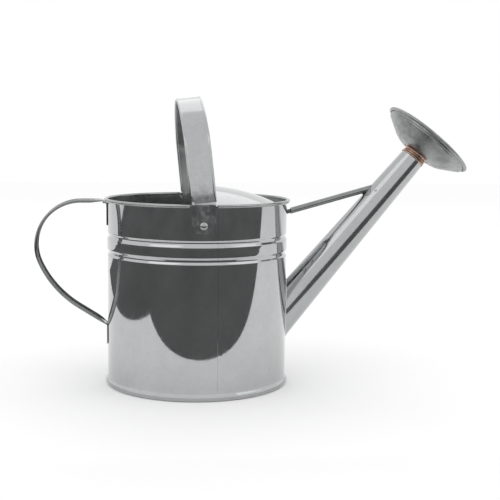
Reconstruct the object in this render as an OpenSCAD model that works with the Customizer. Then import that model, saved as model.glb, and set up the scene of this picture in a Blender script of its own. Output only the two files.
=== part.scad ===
// Galvanised sheet-steel watering can with an arched carrying handle, a rear
// handle and a screw-on rose.
// +Z is up along the axis of the round body, the spout points to +X and the
// rear handle to -X. The origin is the centre of the circle the can stands on.

/* [Body] */
// Outer radius of the body wall
body_r = 100; // [80:1:125]
// Height from the floor to the top of the rolled rim
body_h = 206.5; // [165:0.5:260]
// Thickness of the sheet of the body, cover, spout and rose
sheet = 0.5; // [0.4:0.05:0.7]
// Outer radius of the rolled bead along the rim
bead_r = 1.9; // [1.5:0.1:2.5]
// Distance from the top of the rim down to the upper pressed groove
groove_drop = 41; // [35:0.5:60]
// Distance between the middles of the two pressed grooves
groove_pitch = 18; // [14:0.5:30]
// Depth of each pressed groove
groove_depth = 1.1; // [0.5:0.1:2]
// Half of the width of each pressed groove
groove_half = 3.6; // [2.5:0.1:6]
// How far the band between the grooves swells outwards
band_swell = 0.5; // [0:0.1:1]
// Width of the upright lock seam of the wall
seam_w = 5; // [3:0.5:8]
// How far the lock seam stands proud of the wall
seam_proud = 0.4; // [0.2:0.1:0.8]
// Angle of the lock seam round from the near foot of the carrying handle
seam_turn = 10.2; // [9:0.1:30]

/* [Base] */
// Height of the base disc above the floor
base_lift = 4.5; // [3:0.5:10]
// Height of the seam band round the foot of the wall
hem_h = 3.4; // [2.5:0.1:6]
// How far the foot of the wall flares out into the seam
hem_flare = 1.4; // [1.2:0.1:2.5]

/* [Splash cover] */
// Distance of the cover's straight edge from the body axis, towards the spout
cover_edge = 8; // [0:1:30]
// Radius of the sphere that the cover is dished to
cover_dish_r = 215; // [180:1:400]
// Height of the top of the dish above the rim
cover_rise = 14; // [6:0.5:25]
// Height of the flange that fixes the cover inside the wall
cover_flange = 7; // [4:0.5:12]
// Width of the hem under the cover's straight edge
cover_hem = 5; // [3:0.5:10]

/* [Carrying handle] */
// Width of the carrying strap
carry_w = 27; // [20:0.5:36]
// Thickness of the strap sheet of both handles
strap_t = 0.8; // [0.6:0.1:1.2]
// Outer radius of the rolled edges of the carrying strap
carry_roll = 1.6; // [1.4:0.1:2.4]
// Height of the top of the carrying handle above the rim
carry_rise = 111.5; // [90:0.5:150]
// Radius of the arch's two corners, along the strap
carry_corner_r = 38; // [20:1:50]
// Half of the angle that the arch's crown turns through
crown_turn = 47; // [40:1:60]
// Lean of the arch towards the rear handle, from the rim up
carry_lean = 6; // [0:0.5:10]
// Distance from the top of the rim down to the rivets
rivet_drop = 22.2; // [16:0.1:28]
// Distance from the rivets down to the ends of the strap
foot_len = 8.1; // [6:0.1:12]
// Radius of the strap ends' corners
foot_corner_r = 4; // [2:0.5:8]
// Radius of the rivet shanks
rivet_shank_r = 2; // [1.5:0.1:3]
// Radius of the rivet heads
rivet_head_r = 4; // [3:0.1:5]
// Height of the rivet heads
rivet_head_h = 1.9; // [1:0.1:2.5]

/* [Rear handle] */
// Width of the rear handle's strap
rear_w = 22; // [16:0.5:30]
// Outer radius of the rolled edges of the rear handle
rear_roll = 1.8; // [1.4:0.1:2.4]
// Distance from the top of the rim down to the top of the rear handle
rear_drop = 1; // [0.5:0.1:3]
// Length of the level run from the wall
rear_run = 28.5; // [15:0.5:40]
// Radius of the outside of the loop
loop_r = 51.5; // [40:0.5:58]
// Angle that the loop turns through past upright
loop_extra = 25; // [15:1:30]
// Angle of the lower run below level
rear_slope = 32.4; // [28:0.1:45]
// Height at which the outside of the lower run meets the wall
rear_foot_z = 63; // [50:0.5:75]
// Length of each tab that is pressed flat to the wall
tab_len = 26; // [15:1:35]
// Thickness of each flattened tab
tab_t = 1.3; // [0.8:0.1:2]

/* [Spout] */
// Height at which the spout's axis meets the wall
spout_z = 81.2; // [65:0.1:95]
// Angle of the spout's axis above level
spout_angle = 49.9; // [45:0.1:56]
// Length of the spout along its axis, from the wall
spout_len = 227; // [190:1:270]
// Outer radius of the spout where its axis meets the wall
spout_root_r = 20.9; // [17:0.1:25]
// Outer radius of the spout at its tip
spout_tip_r = 13.9; // [12:0.1:15]

/* [Brace] */
// Outer radius of the rolled brace tube
brace_r = 3.5; // [2.5:0.1:5]
// Distance from the top of the rim down to the brace at the wall
brace_drop = 15.8; // [12:0.1:25]
// Angle of the brace above level
brace_angle = 15.8; // [5:0.1:25]
// Half of the angle that the brace's tongue wraps over the spout
tongue_wrap = 45; // [25:1:60]
// Length of the brace's tongue along the spout
tongue_len = 14; // [10:0.5:20]

/* [Rose] */
// Outer radius of the spout's male thread
thread_r = 14.3; // [12.4:0.1:16]
// Bore of the threaded ferrule
ferrule_bore_r = 11.9; // [10:0.1:12]
// Length of the threaded ferrule that stands out of the spout
ferrule_out = 13; // [10:0.5:18]
// Pitch of the rose's thread
thread_pitch = 3; // [2:0.1:4]
// Length of thread left bare between the spout and the rose
thread_bare = 4; // [2:0.1:6]
// Outer radius of the rose's rolled rim
rose_r = 55.5; // [45:0.5:70]
// Distance from the back of the rose to the front of its rim
rose_depth = 22.3; // [19:0.1:30]
// How far the perforated face domes forward
face_dome = 4.5; // [3:0.1:10]
// Radius of each hole in the face
hole_r = 1; // [0.6:0.1:1.4]
// Number of rings of holes round the middle hole
hole_rings = 5; // [3:1:6]

/* [Hidden] */
$fn = 96;

zinc = [0.72, 0.74, 0.75];
dull_zinc = [0.60, 0.62, 0.62];
copper = [0.62, 0.42, 0.31];
black_rubber = [0.12, 0.12, 0.12];

// Gap between sheets that are fixed to each other
seat_gap = 0.05;
// Running clearance of the screw thread, on the radius
run_gap = 0.06;
// Surplus length of a cutter past the face that it cuts
past = 1;
// Length by which the straight runs of a strap run on into its bends
run_lap = 0.2;

// Body
wall_mid_r = body_r - sheet / 2;
wall_in_r = body_r - sheet;
bead_mid_r = bead_r - sheet / 2;
bead_z = body_h - bead_r;
bead_reach = wall_mid_r + bead_mid_r + bead_r;
upper_groove_z = body_h - groove_drop;
lower_groove_z = upper_groove_z - groove_pitch;
wall_foot_z = 2 * sheet;
wall_step = 0.8;

// Carrying handle: a flat foot on the wall carries the arch above the rim
carry_foot_w = carry_w - 2;
carry_y = body_r + seat_gap + strap_t / 2;
carry_foot_z = body_h - rivet_drop - foot_len;
rivet_z = body_h - rivet_drop;
arch_gap = 0.3 + carry_w / 2 * sin(carry_lean);
corner_turn = 90 - crown_turn;
crown_r = (carry_y - carry_corner_r * (1 - cos(corner_turn))) / cos(corner_turn);
arch_h = carry_corner_r * sin(corner_turn) + crown_r * (1 - sin(corner_turn));
arch_rise = (carry_rise - arch_gap - carry_roll) / cos(carry_lean);
arch_leg = arch_rise - arch_h;
notch_gap = 0.6;

// Rear handle, worked out along the outside of the loop
rear_top_z = body_h - rear_drop;
loop_end = [
    -body_r - rear_run - loop_r * cos(loop_extra),
    rear_top_z - loop_r - loop_r * sin(loop_extra)
];
run_normal = [sin(rear_slope), cos(rear_slope)];
loop_normal = [cos(loop_extra), sin(loop_extra)];
rear_foot = [-body_r, rear_foot_z];
sag_r = run_normal * (loop_end - rear_foot) / (1 - run_normal * loop_normal);
sag_end = loop_end + sag_r * (loop_normal - run_normal);
rear_low_run = (rear_foot[0] - sag_end[0]) / cos(rear_slope) + rear_roll;
bead_under_z = bead_z - bead_r - seat_gap;
joggle_r = bead_reach + seat_gap;

// Spout and brace
spout_taper = (spout_root_r - spout_tip_r) / spout_len;
spout_back = 30;
brace_z = body_h - brace_drop;
crown_line = spout_angle - atan(spout_taper);
crown_x = body_r - spout_root_r * sin(spout_angle);
crown_z = spout_z + spout_root_r * cos(spout_angle);
brace_reach = (crown_z - brace_z + (body_r - crown_x) * tan(crown_line))
    / (sin(brace_angle) - cos(brace_angle) * tan(crown_line));
brace_hit = [
    body_r + brace_reach * cos(brace_angle),
    brace_z + brace_reach * sin(brace_angle)
];
tongue_s = (brace_hit[0] - body_r) * cos(spout_angle)
    + (brace_hit[1] - spout_z) * sin(spout_angle);

// Rose, measured along the spout's axis from the wall
ferrule_in = 10;
ferrule_end_s = spout_len + ferrule_out;
rose_back_s = spout_len + thread_bare;
collar_wall = 1.3;
collar_bore_r = thread_r + run_gap;
collar_r = collar_bore_r + collar_wall;
washer_t = 1.15;
washer_gap = 0.05;
washer_s = ferrule_end_s + washer_gap;
collar_lip_s = washer_s + washer_t + washer_gap;
collar_lip_t = 1;
rim_s = rose_back_s + rose_depth;
rim_roll_r = 1.9;
rim_mid_r = rose_r - rim_roll_r;
rim_roll_mid = rim_roll_r - sheet / 2;
back_bend_r = 36;
back_slope = 32;
back_start_r = collar_r + sheet;
back_bend_end_r = back_start_r + back_bend_r * sin(back_slope);
back_bend_end_s = sheet / 2 + back_bend_r * (1 - cos(back_slope));
back_neck_r = rim_mid_r - rim_roll_mid;
back_cone_r = back_neck_r - 1.4;
face_edge_r = rim_mid_r - 2;
face_s = rim_s - sheet;
face_dish_r = (pow(face_edge_r, 2) + pow(face_dome, 2)) / (2 * face_dome);

function unit(v) = v / norm(v);
function across(v) = [-v[1], v[0]];
function arc(c, r, from, to, n) =
    [for (i = [0:n]) c + r * [cos(from + (to - from) * i / n), sin(from + (to - from) * i / n)]];
function path_side(p, i) =
    across(unit(p[min(i + 1, len(p) - 1)] - p[max(i - 1, 0)]));
// Outline of a sheet of thickness t that is folded along the path p
function folded(p, t) = concat(
    [for (i = [0:len(p) - 1]) p[i] + path_side(p, i) * t / 2],
    [for (i = [len(p) - 1:-1:0]) p[i] - path_side(p, i) * t / 2]
);
function groove_at(z, middle) =
    abs(z - middle) > groove_half ? 0
        : -groove_depth * (1 + cos(180 * (z - middle) / groove_half)) / 2;
function band_at(z) =
    let (u = (2 * z - upper_groove_z - lower_groove_z) / groove_pitch)
    abs(u) > 1 ? 0 : band_swell * (1 - pow(u, 4));
function swage(z) =
    groove_at(z, upper_groove_z) + groove_at(z, lower_groove_z) + band_at(z);
// The stretch of wall that carries the grooves, on a wall of radius r
function grooved(r) =
    [for (z = [lower_groove_z - groove_half:wall_step:upper_groove_z + groove_half])
        [r + swage(z), z]];
function wall_path() = concat(
    [[wall_mid_r + hem_flare, wall_foot_z], [wall_mid_r + hem_flare, hem_h]],
    [[wall_mid_r + hem_flare / 2, hem_h + 2], [wall_mid_r, hem_h + 5]],
    grooved(wall_mid_r),
    arc([wall_mid_r + bead_mid_r, bead_z], bead_mid_r, 180, -110, 18)
);
// Section of a strap of width w: a plate with a rolled, twelve-sided edge
// along each side. The plate is about as thick as the sheet.
function strap_outline(w, roll, grow) = concat(
    arc([w / 2 - roll, 0], roll + grow, 525, 195, 11),
    arc([roll - w / 2, 0], roll + grow, 345, 15, 11)
);
function roll_bore(w, roll, grow, side) =
    arc([side * (w / 2 - roll), 0], roll - strap_t - grow, 345, 15, 11);
function spout_r(s) = spout_root_r - spout_taper * s;

module strap_section(w, roll, grow = 0) {
    difference() {
        polygon(strap_outline(w, roll, grow));
        for (side = [-1, 1])
            polygon(roll_bore(w, roll, grow, side));
    }
}

// Sweeps a section along lines [length] and arcs [radius, angle], starting at
// the origin along +X with the outside of the section towards +Z. The first
// child is the section of the lines and the second that of the arcs.
module sweep(runs) {
    if (len(runs) > 0) {
        run = runs[0];
        rest = [for (i = [1:1:len(runs) - 1]) runs[i]];
        if (len(run) == 1) {
            translate([-run_lap, 0, 0])
                rotate([90, 0, 90])
                    linear_extrude(run[0] + 2 * run_lap)
                        children(0);
            translate([run[0], 0, 0])
                sweep(rest) {
                    children(0);
                    children(1);
                }
        } else {
            translate([0, 0, -run[0]])
                rotate([-90, -90, 0])
                    rotate_extrude(angle = run[1])
                        translate([run[0], 0])
                            rotate(-90)
                                children(1);
            translate([run[0] * sin(run[1]), 0, -run[0] * (1 - cos(run[1]))])
                rotate([0, run[1], 0])
                    sweep(rest) {
                        children(0);
                        children(1);
                    }
        }
    }
}

// A sector of a ring about the body axis, centred on the direction turn
module ring_sector(r_in, r_out, z_low, z_high, half, turn) {
    rotate([0, 0, turn - half])
        rotate_extrude(angle = 2 * half)
            translate([r_in, z_low])
                square([r_out - r_in, z_high - z_low]);
}

module at_spout() {
    translate([body_r, 0, spout_z])
        rotate([0, 90 - spout_angle, 0])
            children();
}

// A cone along the spout's axis, of the spout's outside plus grow
module spout_cone(from, to, grow) {
    at_spout()
        translate([0, 0, from])
            cylinder(h = to - from, r1 = spout_r(from) + grow, r2 = spout_r(to) + grow);
}

module rim_notch(side) {
    half = carry_w / 2 + notch_gap;
    intersection() {
        translate([-half, side > 0 ? 0 : -body_r - 10, bead_under_z])
            cube([2 * half, body_r + 10, 2 * bead_r + past]);
        difference() {
            translate([0, 0, bead_under_z])
                cylinder(h = 2 * bead_r + past, r = body_r + 10);
            translate([0, 0, bead_under_z - past])
                cylinder(h = 2 * bead_r + 3 * past, r = body_r + seat_gap);
        }
    }
}

module rivet_hole() {
    rotate([90, 0, 0])
        cylinder(h = 2 * body_r + 20, r = rivet_shank_r + seat_gap, center = true);
}

module body_wall() {
    seam_half = asin(seam_w / 2 / body_r);
    seam_low_z = hem_h + 5;
    color(zinc)
        difference() {
            union() {
                rotate_extrude()
                    polygon(folded(wall_path(), sheet));
                rotate([0, 0, -90 + seam_turn - seam_half])
                    rotate_extrude(angle = 2 * seam_half)
                        polygon(concat(
                            [[wall_mid_r, seam_low_z], [body_r + seam_proud, seam_low_z]],
                            grooved(body_r + seam_proud),
                            [[body_r + seam_proud, bead_under_z], [wall_mid_r, bead_under_z]],
                            [for (i = [len(grooved(0)) - 1:-1:0]) grooved(wall_mid_r)[i]]
                        ));
            }
            spout_cone(-spout_back, spout_back, -sheet);
            rim_notch(-1);
            rim_notch(1);
            translate([0, 0, rivet_z])
                rivet_hole();
        }
}

module base() {
    inner_r = wall_in_r - seat_gap - sheet / 2;
    outer_r = body_r + hem_flare + seat_gap + sheet / 2;
    floor_z = sheet / 2;
    bend = 0.7;
    color(dull_zinc)
        rotate_extrude()
            polygon(folded(concat(
                [[0, base_lift]],
                arc([inner_r - bend, base_lift - bend], bend, 90, 0, 4),
                arc([inner_r + bend, floor_z + bend], bend, 180, 270, 4),
                arc([outer_r - bend, floor_z + bend], bend, 270, 360, 4),
                [[outer_r, hem_h]]
            ), sheet));
}

module splash_cover() {
    flange_r = wall_in_r - 2 * seat_gap - sheet / 2;
    dish_top_z = body_h + cover_rise;
    dish_z = dish_top_z - cover_dish_r;
    edge_turn = acos(flange_r / cover_dish_r);
    edge_z = dish_z + cover_dish_r * sin(edge_turn);
    dish = arc([0, dish_z], cover_dish_r, 89, edge_turn, 24);
    hem = arc([0, dish_z], cover_dish_r - 0.9 * sheet, 89, edge_turn + 1, 24);
    color(zinc)
        union() {
            intersection() {
                rotate_extrude()
                    polygon(folded(concat(dish, [[flange_r, edge_z - cover_flange]]), sheet));
                translate([cover_edge, -body_r, 0])
                    cube([body_r, 2 * body_r, dish_top_z + past]);
            }
            intersection() {
                rotate_extrude()
                    polygon(folded(hem, sheet));
                translate([cover_edge, -body_r, 0])
                    cube([cover_hem, 2 * body_r, dish_top_z + past]);
            }
        }
}

// Flat foot of the strap on the near side, with round lower corners
module carry_foot() {
    corner_x = carry_foot_w / 2 - foot_corner_r;
    foot_top = body_h + arch_gap + 3;
    translate([0, -carry_y + strap_t / 2, carry_foot_z])
        rotate([90, 0, 0])
            linear_extrude(strap_t - 0.05)
                polygon(concat(
                    [[carry_foot_w / 2 - 2.4, foot_top - carry_foot_z]],
                    [[-carry_foot_w / 2 + 2.4, foot_top - carry_foot_z]],
                    [[-carry_foot_w / 2 + 1.4, body_h - carry_foot_z - 3]],
                    [[-carry_foot_w / 2, body_h - carry_foot_z - 6]],
                    arc([-corner_x, foot_corner_r], foot_corner_r, 180, 270, 6),
                    arc([corner_x, foot_corner_r], foot_corner_r, 270, 360, 6),
                    [[carry_foot_w / 2, body_h - carry_foot_z - 6]],
                    [[carry_foot_w / 2 - 1.4, body_h - carry_foot_z - 3]]
                ));
}

// Half of the arch: a leg and its corner, on the side of -Y
module carry_half() {
    translate([0, -carry_y, run_lap])
        rotate([0, -90, 90])
            sweep([[arch_leg], [carry_corner_r, corner_turn]]) {
                strap_section(carry_w, carry_roll);
                strap_section(carry_w, carry_roll);
            }
}

// The arch stands upright here, and its crown laps over both corners
module carry_arch() {
    crown_z = arch_leg + run_lap + (carry_corner_r - crown_r) * sin(corner_turn);
    lap_turn = 0.2;
    carry_half();
    rotate([0, 0, 180])
        carry_half();
    translate([0, 0, crown_z])
        rotate([90, 0, 90])
            rotate([0, 0, 90 - crown_turn - lap_turn])
                rotate_extrude(angle = 2 * (crown_turn + lap_turn))
                    translate([crown_r, 0])
                        rotate(-90)
                            strap_section(carry_w, carry_roll, 0.02);
}

module carry_handle() {
    color(zinc)
        difference() {
            union() {
                carry_foot();
                mirror([0, 1, 0])
                    carry_foot();
                translate([0, 0, body_h + arch_gap])
                    rotate([0, -carry_lean, 0])
                        carry_arch();
            }
            translate([0, 0, rivet_z])
                rivet_hole();
        }
}

// Domed rivet along +Z from the outer face of the strap plate, shank downwards
module rivet() {
    cap_r = (pow(rivet_head_r, 2) + pow(rivet_head_h, 2)) / (2 * rivet_head_h);
    plate_out = carry_y + strap_t / 2 + seat_gap;
    grip = plate_out - wall_in_r + 3 * seat_gap;
    tail_h = 1.3;
    intersection() {
        translate([0, 0, rivet_head_h - cap_r])
            sphere(r = cap_r);
        cylinder(h = rivet_head_h + past, r = rivet_head_r + past);
    }
    translate([0, 0, -grip])
        cylinder(h = grip + rivet_head_h / 2, r = rivet_shank_r);
    translate([0, 0, -grip - tail_h])
        cylinder(h = tail_h, r = rivet_shank_r * 1.6);
}

module carry_rivet_near() {
    color(zinc)
        translate([0, -carry_y - strap_t / 2 - seat_gap, rivet_z])
            rotate([90, 0, 0])
                rivet();
}

module carry_rivet_far() {
    color(zinc)
        mirror([0, 1, 0])
            carry_rivet_near();
}

module rear_tab(z_low, z_high, half) {
    ring_sector(body_r + seat_gap, body_r + seat_gap + tab_t, z_low, z_high, half, 180);
}

// The short bend that carries the upper tab out and up past the rim's bead
module rear_joggle(half) {
    ring_sector(body_r + seat_gap + tab_t / 2, joggle_r + strap_t / 2,
        bead_under_z - strap_t, bead_under_z, half - 0.1, 180);
    ring_sector(joggle_r, joggle_r + strap_t,
        bead_under_z - strap_t - 0.1, rear_top_z - rear_roll + 0.1, half - 0.2, 180);
}

module rear_handle() {
    half = asin((rear_w / 2 - rear_roll / 2) / body_r);
    plate_z = rear_top_z - rear_roll;
    loop = [
        [rear_run],
        [loop_r - rear_roll, 90 + loop_extra],
        [2 * run_lap],
        [sag_r - rear_roll, 90 - loop_extra - rear_slope],
        [rear_low_run]
    ];
    color(zinc)
        union() {
            difference() {
                translate([-body_r, 0, plate_z])
                    rotate([0, 0, 180])
                        sweep(loop) {
                            strap_section(rear_w, rear_roll);
                            strap_section(rear_w, rear_roll, 0.02);
                        }
                cylinder(h = body_h / 2, r = body_r + seat_gap + tab_t / 2);
                translate([0, 0, body_h / 2])
                    cylinder(h = body_h, r = joggle_r + strap_t / 2);
            }
            rear_tab(bead_under_z - tab_len, bead_under_z - strap_t / 2, half);
            rear_tab(rear_foot_z - tab_len * 0.8, rear_foot_z + rear_roll * 1.5, half);
            rear_joggle(half);
        }
}

module spout() {
    color(zinc)
        difference() {
            spout_cone(-spout_back, spout_len, 0);
            spout_cone(-spout_back - past, spout_len + past, -sheet);
            cylinder(h = body_h, r = body_r + seat_gap);
        }
}

// The rounded tongue of the brace, wrapped over the crown of the spout
module brace_tongue() {
    half_w = spout_r(tongue_s) * sin(tongue_wrap);
    low_s = tongue_s - tongue_len / 2;
    high_s = tongue_s + tongue_len / 2;
    intersection() {
        difference() {
            spout_cone(low_s, high_s, seat_gap + 2 * sheet);
            spout_cone(low_s - past, high_s + past, seat_gap);
        }
        at_spout()
            translate([0, 0, tongue_s - tongue_len / 2])
                rotate([0, -90, 0])
                    linear_extrude(2 * spout_root_r)
                        union() {
                            translate([0, -half_w])
                                square([tongue_len - half_w / 2, 2 * half_w]);
                            translate([tongue_len - half_w, 0])
                                circle(r = half_w);
                        }
    }
}

module spout_brace() {
    color(zinc)
        union() {
            difference() {
                translate([body_r, 0, brace_z])
                    rotate([0, 90 - brace_angle, 0])
                        cylinder(h = brace_reach + 2 * brace_r, r = brace_r);
                translate([body_r, 0, brace_z])
                    rotate([0, 90 - brace_angle, 0])
                        translate([0, 0, -past])
                            cylinder(h = brace_reach + 3 * brace_r, r = brace_r - sheet);
                cylinder(h = body_h + 50, r = body_r + seat_gap);
                spout_cone(0, spout_len, seat_gap + sheet);
            }
            brace_tongue();
        }
}

module spout_ferrule() {
    color(copper)
        at_spout()
            difference() {
                union() {
                    translate([0, 0, spout_len - ferrule_in])
                        cylinder(h = ferrule_in + past, r = spout_tip_r - sheet - seat_gap);
                    translate([0, 0, spout_len + seat_gap])
                        cylinder(h = ferrule_out - seat_gap, r = thread_r);
                }
                translate([0, 0, spout_len - ferrule_in - past])
                    cylinder(h = ferrule_in + ferrule_out + 2 * past, r = ferrule_bore_r);
            }
}

module rose_washer() {
    color(black_rubber)
        at_spout()
            translate([0, 0, washer_s])
                difference() {
                    cylinder(h = washer_t, r = thread_r - run_gap);
                    translate([0, 0, -past])
                        cylinder(h = washer_t + 2 * past, r = ferrule_bore_r);
                }
}

module rose_collar() {
    length = collar_lip_s + collar_lip_t - rose_back_s;
    color(copper)
        at_spout()
            translate([0, 0, rose_back_s])
                difference() {
                    cylinder(h = length, r = collar_r);
                    translate([0, 0, -past])
                        cylinder(h = length - collar_lip_t + past, r = collar_bore_r);
                    translate([0, 0, length - collar_lip_t - past])
                        cylinder(h = collar_lip_t + 2 * past, r = ferrule_bore_r);
                }
}

module rose_back() {
    neck_s = rose_depth - 2 * rim_roll_r - sheet;
    flange_s = rose_depth - rim_roll_r;
    cone_s = back_bend_end_s + (back_cone_r - back_bend_end_r) * tan(back_slope);
    color(dull_zinc)
        at_spout()
            translate([0, 0, rose_back_s])
                rotate_extrude()
                    polygon(folded(concat(
                        arc([back_start_r, sheet / 2 + back_bend_r], back_bend_r,
                            -90, -90 + back_slope, 12),
                        [[back_cone_r, cone_s]],
                        arc([back_neck_r - 1.5, neck_s + 0.5], 1.5, -50, 0, 4),
                        arc([back_neck_r + 0.6, flange_s - 0.6], 0.6, 180, 90, 3),
                        [[rim_mid_r + 0.4, flange_s]]
                    ), sheet));
}

module face_hole(radius, turn) {
    rotate([0, 0, turn])
        translate([radius, 0, -face_dome])
            cylinder(h = 4 * face_dome, r = hole_r, $fn = 24);
}

module rose_face() {
    ring_step = (face_edge_r - 4) / hole_rings;
    dish_s = face_dome - face_dish_r;
    color(zinc)
        at_spout()
            translate([0, 0, face_s])
                difference() {
                    union() {
                        intersection() {
                            difference() {
                                translate([0, 0, dish_s])
                                    sphere(r = face_dish_r + sheet / 2);
                                translate([0, 0, dish_s])
                                    sphere(r = face_dish_r - sheet / 2);
                            }
                            translate([0, 0, -face_dome])
                                cylinder(h = 4 * face_dome, r = face_edge_r);
                        }
                        rotate_extrude()
                            polygon(folded(concat(
                                [[face_edge_r - 0.6, 0]],
                                arc([rim_mid_r, sheet - rim_roll_r], rim_roll_mid, 90, -90, 10),
                                [[rim_mid_r - 0.9, sheet - rim_roll_r - rim_roll_mid]]
                            ), sheet));
                    }
                    face_hole(0, 0);
                    for (ring = [1:hole_rings])
                        for (i = [0:6 * ring - 1])
                            face_hole(ring * ring_step, i * 60 / ring);
                }
}

body_wall();
base();
splash_cover();
carry_handle();
carry_rivet_near();
carry_rivet_far();
rear_handle();
spout();
spout_brace();
spout_ferrule();
rose_washer();
rose_collar();
rose_back();
rose_face();
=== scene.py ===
"""Galvanised watering can: the finished look, built over the CAD frame.

Lengths in the dataclasses are millimetres in the row frame: +Z up along the
axis of the body, +X towards the spout. Meshes are written in metres.
"""

import logging
import math
from dataclasses import dataclass, field
from enum import Enum

import bmesh
import bpy
from mathutils import Matrix, Vector

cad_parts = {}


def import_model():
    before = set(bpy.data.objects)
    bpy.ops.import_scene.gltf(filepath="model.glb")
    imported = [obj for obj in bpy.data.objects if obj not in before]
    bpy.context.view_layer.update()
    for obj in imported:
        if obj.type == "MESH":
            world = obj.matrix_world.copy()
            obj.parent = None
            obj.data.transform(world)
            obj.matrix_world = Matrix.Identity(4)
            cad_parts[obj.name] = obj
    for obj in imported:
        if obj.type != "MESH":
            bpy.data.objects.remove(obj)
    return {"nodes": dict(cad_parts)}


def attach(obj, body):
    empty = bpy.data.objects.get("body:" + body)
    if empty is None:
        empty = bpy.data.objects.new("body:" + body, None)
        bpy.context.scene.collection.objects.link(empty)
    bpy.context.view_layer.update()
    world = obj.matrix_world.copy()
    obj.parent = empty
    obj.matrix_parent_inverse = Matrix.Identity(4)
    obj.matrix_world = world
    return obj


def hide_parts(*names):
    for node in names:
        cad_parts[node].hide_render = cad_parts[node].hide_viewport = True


MM = 0.001
SHARP = 38.0
LOG = logging.getLogger("watering_can")
Vec3 = tuple[float, float, float]
Loop = list[tuple[float, float]]


def cosd(angle: float) -> float:
    """Cosine of an angle in degrees.

    Args:
        angle: The angle in degrees.

    Returns:
        The cosine.
    """
    return math.cos(math.radians(angle))


def sind(angle: float) -> float:
    """Sine of an angle in degrees.

    Args:
        angle: The angle in degrees.

    Returns:
        The sine.
    """
    return math.sin(math.radians(angle))


def tand(angle: float) -> float:
    """Tangent of an angle in degrees.

    Args:
        angle: The angle in degrees.

    Returns:
        The tangent.
    """
    return math.tan(math.radians(angle))


def held(value: float) -> float:
    """Holds a value to 0..1.

    Args:
        value: The value.

    Returns:
        The held value.
    """
    return min(max(value, 0.0), 1.0)


def upright(angle: float) -> Vector:
    """A unit direction in the upright middle plane.

    Args:
        angle: Angle in degrees from +X towards +Z.

    Returns:
        The direction.
    """
    return Vector((cosd(angle), 0, sind(angle)))


class Slot(Enum):
    """Material slots of the record."""

    SHEET = "zinc_sheet"
    SATIN = "zinc_satin"
    COPPER = "copper_alloy"
    RUBBER = "rubber"


class Body(Enum):
    """Rigid bodies of the frame."""

    CAN = "can"
    SEAL = "seal"
    ROSE = "rose"


# --------------------------------------------------------------------------
# Finishes
# --------------------------------------------------------------------------


class Tree:
    """A small helper that adds and joins shader or geometry nodes."""

    def __init__(self, tree: bpy.types.NodeTree) -> None:
        """Wraps a node tree.

        Args:
            tree: The node tree to add to.
        """
        self.tree = tree

    def add(self, kind: str, settings: dict | None = None, **inputs: object) -> bpy.types.Node:
        """Adds a node.

        Args:
            kind: Blender's type name of the node.
            settings: Properties to set on the node itself.
            **inputs: Input sockets by name, with _ for a space; a socket joins, a value is set.

        Returns:
            The new node.
        """
        node = self.tree.nodes.new(kind)
        for key, value in (settings or {}).items():
            setattr(node, key, value)
        for key, value in inputs.items():
            name = key.replace("_", " ")
            socket = next(s for s in node.inputs if s.name == name and s.enabled)
            self.put(socket, value)
        return node

    def place(self) -> bpy.types.NodeSocket:
        """Adds the Object coordinates.

        Returns:
            The coordinates' socket.
        """
        return self.add("ShaderNodeTexCoord").outputs["Object"]

    def put(self, socket: bpy.types.NodeSocket, value: object) -> None:
        """Joins or sets one socket.

        Args:
            socket: The input to feed.
            value: An output socket to join, or a plain value to set.
        """
        if isinstance(value, bpy.types.NodeSocket):
            self.tree.links.new(value, socket)
        else:
            socket.default_value = value

    def math(self, operation: str, a: object, b: object = 0.0, clamp: bool = False) -> bpy.types.NodeSocket:
        """Adds a math node.

        Args:
            operation: Blender's name of the operation.
            a: First operand.
            b: Second operand.
            clamp: Whether the result is held to 0..1.

        Returns:
            The node's output socket.
        """
        node = self.tree.nodes.new("ShaderNodeMath")
        node.operation = operation
        node.use_clamp = clamp
        self.put(node.inputs[0], a)
        self.put(node.inputs[1], b)
        return node.outputs[0]

    def ramp(self, value: object, low: float, high: float, to_low: float, to_high: float) -> bpy.types.NodeSocket:
        """Maps a range to another one, smoothly and clamped.

        Args:
            value: The socket to map.
            low: Start of the input range.
            high: End of the input range.
            to_low: Start of the output range.
            to_high: End of the output range.

        Returns:
            The mapped socket.
        """
        node = self.tree.nodes.new("ShaderNodeMapRange")
        node.interpolation_type = "SMOOTHSTEP"
        for i, v in enumerate((value, low, high, to_low, to_high)):
            self.put(node.inputs[i], v)
        return node.outputs[0]

    def blend(self, factor: object, a: object, b: object) -> bpy.types.NodeSocket:
        """Blends two colours.

        Args:
            factor: 0 gives a and 1 gives b.
            a: First colour.
            b: Second colour.

        Returns:
            The blended colour socket.
        """
        node = self.tree.nodes.new("ShaderNodeMix")
        node.data_type = "RGBA"
        self.put(node.inputs[0], factor)
        self.put(node.inputs[6], a)
        self.put(node.inputs[7], b)
        return node.outputs[2]


def new_material(name: str) -> tuple[bpy.types.Material, Tree, bpy.types.Node]:
    """Makes an empty procedural material.

    Args:
        name: Name of the material.

    Returns:
        The material, its tree and its shader node.
    """
    material = bpy.data.materials.new(name)
    material.use_nodes = True
    material.node_tree.nodes.clear()
    tree = Tree(material.node_tree)
    shader = tree.add("ShaderNodeBsdfPrincipled")
    tree.add("ShaderNodeOutputMaterial", Surface=shader.outputs[0])
    return material, tree, shader


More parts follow.
